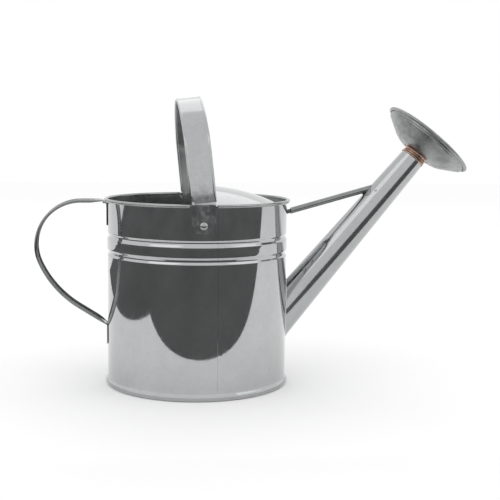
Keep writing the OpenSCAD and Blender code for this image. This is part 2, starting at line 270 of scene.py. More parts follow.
@dataclass(frozen=True)
class ZincFinish:
    """Hot-dip galvanised sheet with crystals of a few millimetres."""

    name: str
    tint: Vec3 = (0.49, 0.50, 0.505)
    dark: Vec3 = (0.44, 0.45, 0.455)
    crystal: float = 3.4
    rough_low: float = 0.09
    rough_high: float = 0.17
    facet: float = 0.006
    blotch: float = 0.35
    ripple: float = 0.005

    def build(self) -> bpy.types.Material:
        """Builds the material.

        Returns:
            The finished material.
        """
        material, t, shader = new_material(self.name)
        place = t.place()
        warp = t.add("ShaderNodeTexNoise", Vector=place, Scale=260.0, Detail=2.0)
        bent = t.add("ShaderNodeVectorMath", {"operation": "MULTIPLY_ADD"})
        t.put(bent.inputs[0], warp.outputs["Color"])
        t.put(bent.inputs[1], (0.0016, 0.0016, 0.0016))
        t.put(bent.inputs[2], place)
        cells = t.add("ShaderNodeTexVoronoi", Vector=bent.outputs[0], Scale=1000.0 / self.crystal)
        fine = t.add("ShaderNodeTexVoronoi", Vector=bent.outputs[0], Scale=2600.0 / self.crystal)
        cloud = t.add("ShaderNodeTexNoise", Vector=place, Scale=38.0, Detail=4.0, Roughness=0.6)
        pick = t.add("ShaderNodeSeparateColor", Color=cells.outputs["Color"])
        pick_fine = t.add("ShaderNodeSeparateColor", Color=fine.outputs["Color"])
        shade = t.math("MULTIPLY", pick.outputs[0], 0.62)
        shade = t.math("ADD", shade, t.math("MULTIPLY", pick_fine.outputs[1], 0.38))
        mist = t.ramp(cloud.outputs["Fac"], 0.36, 0.64, 0.0, self.blotch)
        shade = t.math("ADD", t.math("MULTIPLY", shade, 1.0 - self.blotch), mist, clamp=True)
        colour = t.blend(shade, (*self.dark, 1.0), (*self.tint, 1.0))
        t.put(shader.inputs["Base Color"], colour)
        shader.inputs["Metallic"].default_value = 1.0
        rough = t.math("ADD", t.math("MULTIPLY", pick.outputs[1], 0.6), t.math("MULTIPLY", cloud.outputs["Fac"], 0.4))
        t.put(shader.inputs["Roughness"], t.ramp(rough, 0.15, 0.85, self.rough_low, self.rough_high))
        wave = t.add("ShaderNodeTexNoise", Vector=place, Scale=11.0, Detail=1.0)
        height = t.math("MULTIPLY", wave.outputs["Fac"], self.ripple * 50.0)
        height = t.math("ADD", height, t.math("MULTIPLY", cells.outputs["Distance"], self.facet))
        bump = t.add("ShaderNodeBump", Height=height, Strength=0.5, Distance=0.0006)
        t.put(shader.inputs["Normal"], bump.outputs[0])
        return material


@dataclass(frozen=True)
class CopperFinish:
    """Turned copper-coloured alloy, a little tarnished."""

    name: str = "copper_turned"

    def build(self) -> bpy.types.Material:
        """Builds the material.

        Returns:
            The finished material.
        """
        material, t, shader = new_material(self.name)
        place = t.place()
        spots = t.add("ShaderNodeTexNoise", Vector=place, Scale=420.0, Detail=5.0, Roughness=0.7)
        stain = t.ramp(spots.outputs["Fac"], 0.35, 0.7, 0.0, 1.0)
        t.put(shader.inputs["Base Color"], t.blend(stain, (0.47, 0.32, 0.25, 1.0), (0.25, 0.16, 0.125, 1.0)))
        shader.inputs["Metallic"].default_value = 1.0
        t.put(shader.inputs["Roughness"], t.ramp(spots.outputs["Fac"], 0.3, 0.7, 0.13, 0.28))
        return material


@dataclass(frozen=True)
class SolderFinish:
    """Dull soft solder along a seam."""

    name: str = "soft_solder"

    def build(self) -> bpy.types.Material:
        """Builds the material.

        Returns:
            The finished material.
        """
        material, t, shader = new_material(self.name)
        place = t.place()
        lumps = t.add("ShaderNodeTexNoise", Vector=place, Scale=300.0, Detail=4.0)
        t.put(shader.inputs["Base Color"], t.blend(lumps.outputs["Fac"], (0.42, 0.43, 0.44, 1.0), (0.66, 0.67, 0.68,
                1.0)))
        shader.inputs["Metallic"].default_value = 1.0
        t.put(shader.inputs["Roughness"], t.ramp(lumps.outputs["Fac"], 0.3, 0.7, 0.25, 0.5))
        bump = t.add("ShaderNodeBump", Height=lumps.outputs["Fac"], Strength=0.6, Distance=0.0005)
        t.put(shader.inputs["Normal"], bump.outputs[0])
        return material


@dataclass(frozen=True)
class RubberFinish:
    """Matt black rubber."""

    name: str = "rubber_matt"

    def build(self) -> bpy.types.Material:
        """Builds the material.

        Returns:
            The finished material.
        """
        material, t, shader = new_material(self.name)
        place = t.place()
        grain = t.add("ShaderNodeTexNoise", Vector=place, Scale=900.0, Detail=3.0)
        t.put(shader.inputs["Base Color"], t.blend(grain.outputs["Fac"], (0.012, 0.012, 0.012, 1.0), (0.035, 0.035,
                0.035, 1.0)))
        shader.inputs["Roughness"].default_value = 0.75
        return material


class Palette:
    """The finishes of the can, built once; the zincs for the inside, the bead, the rear handle and the brace are darker
    copies that hold painted shade and painted dark reflections.
    """

    def __init__(self) -> None:
        """Builds every finish."""
        self.wall = ZincFinish("zinc_wall", rough_low=0.03, rough_high=0.06).build()
        self.strap = ZincFinish("zinc_strap", crystal=4.2, rough_low=0.07, rough_high=0.15, tint=(0.46, 0.47, 0.475),
                                dark=(0.41, 0.42, 0.425), blotch=0.3).build()
        self.tube = ZincFinish("zinc_tube", crystal=2.6, rough_low=0.08, rough_high=0.15, tint=(0.45, 0.455, 0.46),
                               dark=(0.40, 0.405, 0.41)).build()
        # The inside zinc is darker than the outer zinc: painted shade inside the can. It is also rougher.
        self.inside = ZincFinish("zinc_inside_painted_shade", rough_low=0.3, rough_high=0.42, tint=(0.36, 0.37, 0.365), dark=(0.30,
                0.31, 0.305)).build()
        self.lining = ZincFinish("zinc_lining", crystal=4.2, rough_low=0.36, rough_high=0.48, tint=(0.50, 0.51, 0.51),
                                 dark=(0.44, 0.45, 0.45)).build()
        # The bead zinc is a darker copy of the sheet zinc: painted dark reflections on the rim bead and the rivets.
        self.bead = ZincFinish("zinc_bead_painted_dark", crystal=2.4, rough_low=0.15, rough_high=0.25, tint=(0.38, 0.39, 0.39),
                               dark=(0.30, 0.31, 0.31)).build()
        # A darker, rougher copy of the sheet zinc for the rear handle and the brace: the darkness is painted dark
        # reflections, the roughness is their own.
        self.dull_painted_dark = ZincFinish("zinc_dull_painted_dark", crystal=2.2, rough_low=0.13, rough_high=0.24, tint=(0.30, 0.31, 0.31),
                               dark=(0.21, 0.22, 0.22), blotch=0.5).build()
        self.rose = ZincFinish("zinc_rose", crystal=3.0, rough_low=0.28, rough_high=0.42, tint=(0.37, 0.38, 0.375),
                               dark=(0.21, 0.22, 0.215), blotch=0.8).build()
        self.copper = CopperFinish().build()
        self.solder = SolderFinish().build()
        self.rubber = RubberFinish().build()


# --------------------------------------------------------------------------
# Shapes
# --------------------------------------------------------------------------


def arc(cx: float, cy: float, r: float, start: float, end: float, steps: int) -> Loop:
    """Points along an arc.

    Args:
        cx: Centre, first coordinate.
        cy: Centre, second coordinate.
        r: Radius.
        start: First angle in degrees.
        end: Last angle in degrees.
        steps: Number of steps.

    Returns:
        The points, both ends included.
    """
    return [
        (cx + r * cosd(start + (end - start) * i / steps),
         cy + r * sind(start + (end - start) * i / steps))
        for i in range(steps + 1)
    ]


def folded(path: Loop, thickness: float) -> Loop:
    """The closed outline of a sheet that follows a path.

    Args:
        path: Middle line of the sheet.
        thickness: Sheet thickness.

    Returns:
        The closed outline.
    """
    left, right = [], []
    for i, (x, y) in enumerate(path):
        ax, ay = path[max(i - 1, 0)]
        bx, by = path[min(i + 1, len(path) - 1)]
        size = math.hypot(bx - ax, by - ay) or 1.0
        nx, ny = -(by - ay) / size, (bx - ax) / size
        left.append((x + nx * thickness / 2, y + ny * thickness / 2))
        right.append((x - nx * thickness / 2, y - ny * thickness / 2))
    return left + right[::-1]


class MeshBuilder:
    """Collects vertices and faces in millimetres and makes one mesh object of them."""

    def __init__(self) -> None:
        """Starts empty."""
        self.verts: list[Vec3] = []
        self.faces: list[tuple[int, ...]] = []
        self.marks: list[int] = []
        self.mark = 0

    def grid(self, rows: list[list[Vec3]], wrap_row: bool, wrap_col: bool, cap: bool = False) -> None:
        """Adds a net of quads.

        Args:
            rows: Rows of points, all of one length.
            wrap_row: Whether the last row joins the first.
            wrap_col: Whether each row's last point joins its first.
            cap: Whether the first and the last row are closed with a face.
        """
        base, n = len(self.verts), len(rows[0])
        for row in rows:
            self.verts.extend(row)
        for i in range(len(rows) if wrap_row else len(rows) - 1):
            k = (i + 1) % len(rows)
            for j in range(n if wrap_col else n - 1):
                m = (j + 1) % n
                self.face(base + i * n + j, base + i * n + m, base + k * n + m, base + k * n + j)
        if cap:
            self.face(*[base + j for j in range(n - 1, -1, -1)])
            self.face(*[base + (len(rows) - 1) * n + j for j in range(n)])

    def face(self, *corners: int) -> None:
        """Adds one face.

        Args:
            *corners: Indices of its corners.
        """
        self.faces.append(corners)
        self.marks.append(self.mark)

    def lathe(self, outline: Loop, steps: int = 192, matrix: Matrix | None = None) -> None:
        """Turns a closed outline about the Z axis.

        Args:
            outline: Closed outline as (radius, height).
            steps: Number of steps round.
            matrix: Optional placement.
        """
        turns = [2 * math.pi * i / steps for i in range(steps)]
        rows = [[(r * math.cos(a), r * math.sin(a), z) for r, z in outline] for a in turns]
        self.grid(self.placed(rows, matrix), True, True)

    def sector(self, outline: Loop, start: float, end: float, steps: int) -> None:
        """Turns a closed outline through a part of a turn and closes both ends.

        Args:
            outline: Closed outline as (radius, height).
            start: First angle in degrees.
            end: Last angle in degrees.
            steps: Number of steps.
        """
        rows = []
        for i in range(steps + 1):
            a = math.radians(start + (end - start) * i / steps)
            rows.append([(r * math.cos(a), r * math.sin(a), z) for r, z in outline])
        self.grid(rows, False, True, cap=True)

    @staticmethod
    def placed(rows: list[list[Vec3]], matrix: Matrix | None) -> list[list[Vec3]]:
        """Moves rows of points.

        Args:
            rows: Rows of points.
            matrix: The placement, or None.

        Returns:
            The moved rows.
        """
        if matrix is None:
            return rows
        return [[tuple(matrix @ Vector(p)) for p in row] for row in rows]

    def make(self, name: str, materials: list[bpy.types.Material], sharp: float = SHARP) -> bpy.types.Object:
        """Makes the object.

        Args:
            name: Name of the piece.
            materials: Its materials; each face's mark picks one.
            sharp: Angle in degrees above which an edge is sharp.

        Returns:
            The object, at the origin.
        """
        mesh = bpy.data.meshes.new(name)
        mesh.from_pydata([(x * MM, y * MM, z * MM) for x, y, z in self.verts], [], self.faces)
        mesh.update()
        for material in materials:
            mesh.materials.append(material)
        mesh.polygons.foreach_set("material_index", self.marks)
        return finish_mesh(name, mesh, sharp)


def link(name: str, data: bpy.types.ID) -> bpy.types.Object:
    """Makes an object and puts it in the scene.

    Args:
        name: Name of the object.
        data: Its mesh, light or camera.

    Returns:
        The object.
    """
    obj = bpy.data.objects.new(name, data)
    bpy.context.scene.collection.objects.link(obj)
    return obj


def baked(obj: bpy.types.Object) -> bpy.types.Mesh:
    """Turns an object's modifiers into a plain mesh.

    Args:
        obj: The object; its modifiers are removed.

    Returns:
        Its new mesh.
    """
    graph = bpy.context.evaluated_depsgraph_get()
    obj_mesh = bpy.data.meshes.new_from_object(obj.evaluated_get(graph))
    obj.modifiers.clear()
    obj.data = obj_mesh
    return obj_mesh


def finish_mesh(name: str, mesh: bpy.types.Mesh, sharp: float = SHARP) -> bpy.types.Object:
    """Merges doubles, turns faces outwards, smooths and links a mesh.

    Args:
        name: Name of the piece.
        mesh: Its mesh, in metres.
        sharp: Angle in degrees above which an edge is sharp.

    Returns:
        The linked object.
    """
    work = bmesh.new()
    work.from_mesh(mesh)
    bmesh.ops.remove_doubles(work, verts=work.verts, dist=1e-6)
    bmesh.ops.recalc_face_normals(work, faces=work.faces)
    work.to_mesh(mesh)
    work.free()
    mesh.shade_smooth()
    mesh.set_sharp_from_angle(angle=math.radians(sharp))
    return link(name, mesh)


def cut(obj: bpy.types.Object, tools: list[bpy.types.Object]) -> bpy.types.Object:
    """Cuts an object with tools and leaves a plain mesh.

    Args:
        obj: The object to cut.
        tools: Objects to cut with; they are removed.

    Returns:
        The cut object.
    """
    for tool in tools:
        step = obj.modifiers.new("cut", "BOOLEAN")
        step.operation = "DIFFERENCE"
        step.solver = "EXACT"
        step.object = tool
    mesh = baked(obj)
    for tool in tools:
        bpy.data.objects.remove(tool)
    mesh.shade_smooth()
    mesh.set_sharp_from_angle(angle=math.radians(SHARP))
    return obj


def hand_over(obj: bpy.types.Object, body: Body, slot: Slot, *nodes: str) -> None:
    """Puts a finished piece into the frame.

    Args:
        obj: The piece.
        body: The body it moves with.
        slot: Its material slot; not used.
        *nodes: The CAD nodes it stands for.
    """
    if nodes:
        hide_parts(*nodes)
    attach(obj, body.value)
    LOG.info("%s: %d faces", obj.name, len(obj.data.polygons))


# --------------------------------------------------------------------------
# The body
# --------------------------------------------------------------------------


@dataclass
class Shell:
    """The round wall with its grooves, rim bead and seam, and the base pan."""

    radius: float = 100.0
    height: float = 206.5
    sheet: float = 0.5
    bead: float = 1.9
    groove_zs: tuple[float, float] = (165.5, 147.5)
    groove_depth: float = 1.1
    groove_half: float = 3.6
    swell: float = 0.5
    seam_turn: float = 10.2
    seam_width: float = 5.0
    seam_proud: float = 0.35
    hem: float = 3.4
    flare: float = 1.4
    base_lift: float = 4.5
    notch_half: float = 14.1

    @property
    def middle(self) -> float:
        """Radius of the middle of the sheet.

        Returns:
            The radius.
        """
        return self.radius - self.sheet / 2

    def offset(self, z: float) -> float:
        """How far the wall stands out at a height.

        Args:
            z: Height above the floor.

        Returns:
            Distance outwards from the plain wall.
        """
        out = 0.0
        for middle in self.groove_zs:
            u = (z - middle) / self.groove_half
            if abs(u) < 1:
                t = min((1 - abs(u)) / 0.62, 1.0)
                out -= self.groove_depth * (0.6 * t + 0.4 * (1 - math.cos(math.pi * t)) / 2)
        span = (self.groove_zs[0] - self.groove_zs[1]) / 2
        u = (z - sum(self.groove_zs) / 2) / span
        if abs(u) < 1:
            out += self.swell * (1 - u ** 4)
        return out

    def wall_path(self) -> Loop:
        """Middle line of the wall from the foot to the bead.

        Returns:
            Points as (radius, height).
        """
        m = self.middle
        low = self.groove_zs[1] - self.groove_half - 1
        high = self.groove_zs[0] + self.groove_half + 1
        path = [(m + self.flare, 0.8), (m + self.flare, self.hem)]
        path += [(m + self.flare * (1 + math.cos(math.pi * i / 6)) / 2, self.hem + 5 * i / 6) for i in range(1, 6)]
        path += [(m, self.hem + 5), (m, self.hem + 9)]
        path += [(m, z) for z in range(20, 140, 10)]
        steps = 96
        path += [(m + self.offset(low + (high - low) * i / steps),
                  low + (high - low) * i / steps) for i in range(steps + 1)]
        path += [(m, 175), (m, 185), (m, 195)]
        path += [(m, self.height - self.bead - d) for d in (3.0, 1.9, 1.3)]
        return path

    def wall(self) -> MeshBuilder:
        """Builds the wall with its bead and lock seam.

        Returns:
            The builder that holds it.
        """
        b = MeshBuilder()
        outline = folded(self.wall_path() + [(self.middle, self.height - self.bead)], self.sheet)
        half = math.degrees(self.seam_width / 2 / self.radius)
        centre = -90 + self.seam_turn
        turns = sorted({centre + d for d in (-half - 0.08, -half, half, half + 0.08)}
                       | {360 * i / 288 - 180 for i in range(288)
                          if abs(360 * i / 288 - 180 - centre) > half + 0.3})
        rows = []
        for a in turns:
            lift = self.seam_proud if abs(a - centre) < half + 0.01 else 0.0
            row = []
            for r, z in outline:
                fade = held((z - 8.4) / 1.2) * held((self.height - self.bead + 0.2 - z) / 1.0)
                rr = r + lift * fade
                row.append((rr * cosd(a), rr * sind(a), z))
            rows.append(row)
        b.grid(rows, True, True)
        return b

    def rim(self) -> MeshBuilder:
        """Builds the rolled bead of the rim, open beside the feet of the carrying handle.

        Returns:
            The builder that holds it.
        """
        b = MeshBuilder()
        mid = self.bead - self.sheet / 2
        curl = [(self.middle, self.height - self.bead - 2)]
        curl += arc(self.middle + mid, self.height - self.bead, mid, 180, -150, 26)
        bead = folded(curl, self.sheet)
        gap = math.degrees(math.asin(self.notch_half / self.radius))
        b.sector(bead, -90 + gap, 90 - gap, 160)
        b.sector(bead, 90 + gap, 270 - gap, 160)
        return b

    def base(self) -> MeshBuilder:
        """Builds the base pan.

        Returns:
            The builder that holds it.
        """
        b = MeshBuilder()
        s = self.sheet
        inner = self.radius - s - 0.05 - s / 2
        outer = self.radius + self.flare + 0.05 + s / 2
        path = [(0.01, self.base_lift), (30, self.base_lift), (60, self.base_lift), (90, self.base_lift)]
        path += arc(inner - 0.8, self.base_lift - 0.8, 0.8, 90, 0, 5)
        path += arc(inner + 0.7, s / 2 + 0.7, 0.7, 180, 270, 5)
        path += arc(outer - 0.7, s / 2 + 0.7, 0.7, 270, 360, 5)
        path += [(outer, self.hem)]
        b.lathe(folded(path, s), 256)
        return b


@dataclass
class Cover:
    """The dished splash cover over the front half of the mouth."""

    edge: float = 8.0
    dish: float = 215.0
    top: float = 220.5
    radius: float = 99.15
    flange: float = 7.0
    sheet: float = 0.5
    hem: float = 5.0

    def build(self, name: str, material: bpy.types.Material) -> bpy.types.Object:
        """Builds the cover.

        Args:
            name: Name of the piece.
            material: Its finish.

        Returns:
            The object.
        """
        centre = self.top - self.dish
        turn = math.degrees(math.acos(self.radius / self.dish))
        edge_z = centre + self.dish * sind(turn)
        path = arc(0, centre, self.dish - self.sheet / 2, 89, turn + 0.8, 40)
        path += arc(self.radius - 1.2, edge_z - 1.5, 1.2, 62, 0, 5) + [(self.radius, edge_z - self.flange)]
        under = arc(0, centre, self.dish - 1.6 * self.sheet, 89, turn + 1.2, 36)
        b = MeshBuilder()
        b.lathe(folded(path, self.sheet), 224)
        body = b.make(name, [material])
        self.keep(body, self.edge, 400.0)
        c = MeshBuilder()
        c.lathe(folded(under, self.sheet), 224)
        hem = c.make(name + "_hem", [material])
        self.keep(hem, self.edge, self.edge + self.hem)
        r = MeshBuilder()
        n, rows = 60, []
        half = math.sqrt(self.radius ** 2 - self.edge ** 2) - 1.4
        for i in range(n + 1):
            y = -half + 2 * half * i / n
            z = centre + math.sqrt((self.dish - 0.55) ** 2 - self.edge ** 2 - y * y)
            rows.append([(self.edge + 0.62 * math.cos(a), y, z - 0.05 + 0.62 * math.sin(a))
                         for a in [2 * math.pi * k / 12 for k in range(12)]])
        r.grid(rows, False, True, cap=True)
        fold = r.make(name + "_fold", [material])
        return join(name, [body, hem, fold])

    @staticmethod
    def keep(obj: bpy.types.Object, low: float, high: float) -> None:
        """Keeps the part of a closed mesh between two upright planes.

        Args:
            obj: The mesh object.
            low: Lower x of the part that stays.
            high: Upper x of the part that stays.
        """
        work = bmesh.new()
        work.from_mesh(obj.data)
        for x, normal in ((low, (-1, 0, 0)), (high, (1, 0, 0))):
            geom = work.verts[:] + work.edges[:] + work.faces[:]
            out = bmesh.ops.bisect_plane(work, geom=geom, plane_co=(x * MM, 0, 0), plane_no=normal, clear_outer=True)
            edges = [e for e in out["geom_cut"] if isinstance(e, bmesh.types.BMEdge)]
            if edges:
                bmesh.ops.triangle_fill(work, edges=edges, use_beauty=True)
        bmesh.ops.recalc_face_normals(work, faces=work.faces)
        work.to_mesh(obj.data)
        work.free()
        obj.data.set_sharp_from_angle(angle=math.radians(SHARP))


def join(name: str, parts: list[bpy.types.Object]) -> bpy.types.Object:
    """Joins mesh objects that share their materials' order.

    Args:
        name: Name of the joined piece.
        parts: The objects; all but the result are removed.

    Returns:
        The joined object.
    """
    work = bmesh.new()
    materials: list[bpy.types.Material] = []
    for part in parts:
        shift = []
        for material in part.data.materials:
            if material not in materials:
                materials.append(material)
            shift.append(materials.index(material))
        start = len(work.faces)
        work.from_mesh(part.data)
        work.faces.ensure_lookup_table()
        for face in work.faces[start:]:
            face.material_index = shift[face.material_index] if shift else 0
    mesh = bpy.data.meshes.new(name)
    work.to_mesh(mesh)
    work.free()
    for material in materials:
        mesh.materials.append(material)
    for part in parts:
        bpy.data.objects.remove(part)
    return link(name, mesh)


# --------------------------------------------------------------------------
# Straps
# --------------------------------------------------------------------------


@dataclass
class Station:
    """One section of a strap on its way.

    Attributes:
        at: Middle of the plate.
        out: Direction of the strap's outer side.
        side: Direction across the strap.
        roll: Radius of the rolled edges there.
        width: Overall width there.
        sag: Curvature across the strap, 1 over its radius, bent away from out.
    """

    at: Vector
    out: Vector
    side: Vector
    roll: float
    width: float
    sag: float = 0.0


def strap_outline(width: float, roll: float, thick: float) -> Loop:
    """Section of a strap with both edges rolled inwards.

    Args:
        width: Overall width.
        roll: Outer radius of the rolls.
        thick: Sheet thickness.

    Returns:
        Closed outline as (across, out).
    """
    x, mid = width / 2 - roll, max(roll - thick / 2, 0.05)
    lift = mid * 0.5
    path = arc(-x, -lift, mid, 330, 32, 16) + [(-x + mid + 1.2, 0.0)]
    path += [(-x / 2, 0.0), (0.0, 0.0), (x / 2, 0.0)]
    path += [(x - mid - 1.2, 0.0)] + arc(x, -lift, mid, 148, -150, 16)
    return folded(path, thick)


def sweep_strap(b: MeshBuilder, stations: list[Station], thick: float) -> None:
    """Adds a strap through its stations.

    Args:
        b: The builder to add to.
        stations: The sections in order.
        thick: Sheet thickness.
    """
    rows = []
    for s in stations:
        row = []
        for x, y in strap_outline(s.width, s.roll, thick):
            p = s.at + s.side * x + s.out * (y - s.sag * x * x / 2)
            row.append(tuple(p))
        rows.append(row)
    b.grid(rows, False, True, cap=True)


@dataclass
class CarryHandle:
    """The arched strap with its two flat feet and rivets."""

    width: float = 27.0
    foot_width: float = 25.0
    thick: float = 0.8
    roll: float = 1.5
    rim: float = 206.5
    rise: float = 111.5
    lean: float = 6.0
    wall: float = 100.0
    corner_r: float = 38.0
    bow: float = 9.0
    crown_turn: float = 47.0
    rivet_z: float = 184.3
    foot_z: float = 176.2
    foot_corner: float = 4.0
    head_r: float = 4.0
    head_h: float = 1.9

    @property
    def plate_y(self) -> float:
        """Distance of the plate's middle from the middle plane of the can.

        Returns:
            The distance.
        """
        return self.wall + 0.1 + self.thick / 2

    def arch(self) -> list[Station]:
        """Stations along the arch, from the near side over to the far side.

        Returns:
            The stations.
        """
        y0, corner = self.plate_y, math.radians(90 - self.crown_turn)
        crown_r = (y0 - self.corner_r * (1 - math.cos(corner))) / math.cos(corner)
        tall = (self.rise - self.roll) / cosd(self.lean)
        leg = tall - self.corner_r * math.sin(corner) - crown_r * (1 - math.sin(corner))
        crown_z = leg + (self.corner_r - crown_r) * math.sin(corner)
        points: list[tuple[float, float, float]] = []
        for i in range(17):
            t = i / 16
            points.append((-y0 + leg * tand(self.bow) * t ** 3 / 3,
                           1.6 + (leg - 1.6) * t, 180.0 - self.bow * t ** 2))
        shift = points[-1][0] + y0
        for i in range(1, 19):
            a = 180 - self.bow - (90 - self.crown_turn - self.bow) * i / 18
            points.append((-y0 + shift * (1 - i / 18) + self.corner_r + self.corner_r * cosd(a),
                           leg + self.corner_r * sind(a), a))
        for i in range(1, 30):
            a = 90 + self.crown_turn - 2 * self.crown_turn * i / 30
            points.append((crown_r * cosd(a), crown_z + crown_r * sind(a), a))
        points += [(-u, v, 180 - a) for u, v, a in points[34::-1]]
        turn = Matrix.Rotation(math.radians(-self.lean), 4, "Y")
        move = Matrix.Translation((0, 0, self.rim)) @ turn
        side = (turn @ Vector((1, 0, 0)))
        out = []
        for u, v, a in points:
            normal = turn @ Vector((0, cosd(a), sind(a)))
            roll = self.roll - 0.7 * max(1 - (v - 1.6) / 7, 0.0)
            out.append(Station(move @ Vector((0, u, v)), normal, side, roll, self.width))
        return out

    def foot(self, b: MeshBuilder, sign: float) -> None:
        """Adds one flat foot.

        Args:
            b: The builder to add to.
            sign: -1 for the near side, 1 for the far side.
        """
        rows_out, rows_in = [], []
        top, cols = self.rim + 3.2, 44
        heights = [self.foot_z + self.foot_corner * (1 - math.cos(math.pi / 2 * i / 8)) for i in range(9)]
        heights += [self.foot_z + self.foot_corner + (top - self.foot_z - self.foot_corner) * i / 14 for i in range(1,
                15)]
        for z in heights:
            dz = max(self.foot_corner - (z - self.foot_z), 0.0)
            half = self.foot_width / 2 - (self.foot_corner - math.sqrt(max(self.foot_corner ** 2 - dz ** 2, 0.0)))
            blend = held((self.rim - 1.5 - z) / 8)
            shift = -tand(self.lean) * max(z - self.rim, 0.0)
            skin = self.thick / 2 - (0.14 if z > self.rim + 1.4 else 0.0)
            fade = held((z - self.foot_z - 1.5) / 5) * (0.0 if z > self.rim + 1.4 else 1.0)
            row_a, row_b = [], []
            for k in range(cols + 1):
                x = -half + 2 * half * k / cols
                sag = x * x / (2 * self.wall) * 0.8 * blend
                hem = 0.6 * fade * math.exp(-((abs(x) - half + 1.3) / 0.8) ** 2)
                row_a.append((x + shift, sign * (self.plate_y + skin + hem - sag), z))
                row_b.append((x + shift, sign * (self.plate_y - skin - sag), z))
            rows_out.append(row_a)
            rows_in.append(row_b[::-1])
        b.grid([a + c for a, c in zip(rows_out, rows_in)], False, True, cap=True)

    def build(self) -> MeshBuilder:
        """Builds the strap.

        Returns:
            The builder that holds it.
        """
        b = MeshBuilder()
        sweep_strap(b, self.arch(), self.thick)
        self.foot(b, -1.0)
        self.foot(b, 1.0)
        return b

    def crimp(self, sign: float) -> MeshBuilder:
        """Builds the small folded lug that grips the rim inside the wall.

        Args:
            sign: -1 for the near side, 1 for the far side.

        Returns:
            The builder that holds it.
        """
        b = MeshBuilder()
        r_out, r_in = self.wall - 0.5 - 0.06, self.wall - 0.5 - 0.66
        rows = []
        for i in range(9):
            z = self.rim - 0.6 - 7.8 * i / 8
            half = 7.4 * (1 - 0.86 * (i / 8) ** 1.2)
            turns = [math.radians(sign * 90) + math.asin((-half + 2 * half * k / 8) / r_out) for k in range(9)]
            rows.append([(r_out * math.cos(a), r_out * math.sin(a), z) for a in turns]
                        + [(r_in * math.cos(a), r_in * math.sin(a), z) for a in turns[::-1]])
        centre = sign * math.degrees(math.asin(11.0 / r_out))
        turned = Matrix.Rotation(math.radians(centre), 4, "Z")
        b.grid(b.placed(rows, turned), False, True, cap=True)
        return b

    def rivet(self, sign: float) -> MeshBuilder:
        """Builds one domed rivet with its clenched tail.

        Args:
            sign: -1 for the near side, 1 for the far side.

        Returns:
            The builder that holds it.
        """
        b = MeshBuilder()
        face = self.plate_y + self.thick / 2
        r, h = self.head_r, self.head_h
        ball = (r * r + h * h) / (2 * h)
        rim = math.degrees(math.asin((r - 0.15) / ball))
        dome = [(ball * sind(rim * i / 12), h - ball + ball * cosd(rim * i / 12)) for i in range(1, 13)]
        tail = -(face - self.wall + 0.5 + 0.12)
        outline = [(0.01, h)] + dome + [(r, 0.12), (r - 0.1, 0.0), (2.0, 0.0), (2.0, tail), (3.2, tail),
                                          (3.1, tail - 0.7), (2.5, tail - 1.15), (0.01, tail - 1.25)]
        place = Matrix.Translation((0, sign * face, self.rivet_z)) @ Matrix.Rotation(math.radians(-90 * sign), 4, "X")
        b.lathe(outline, 48, place)
        return b


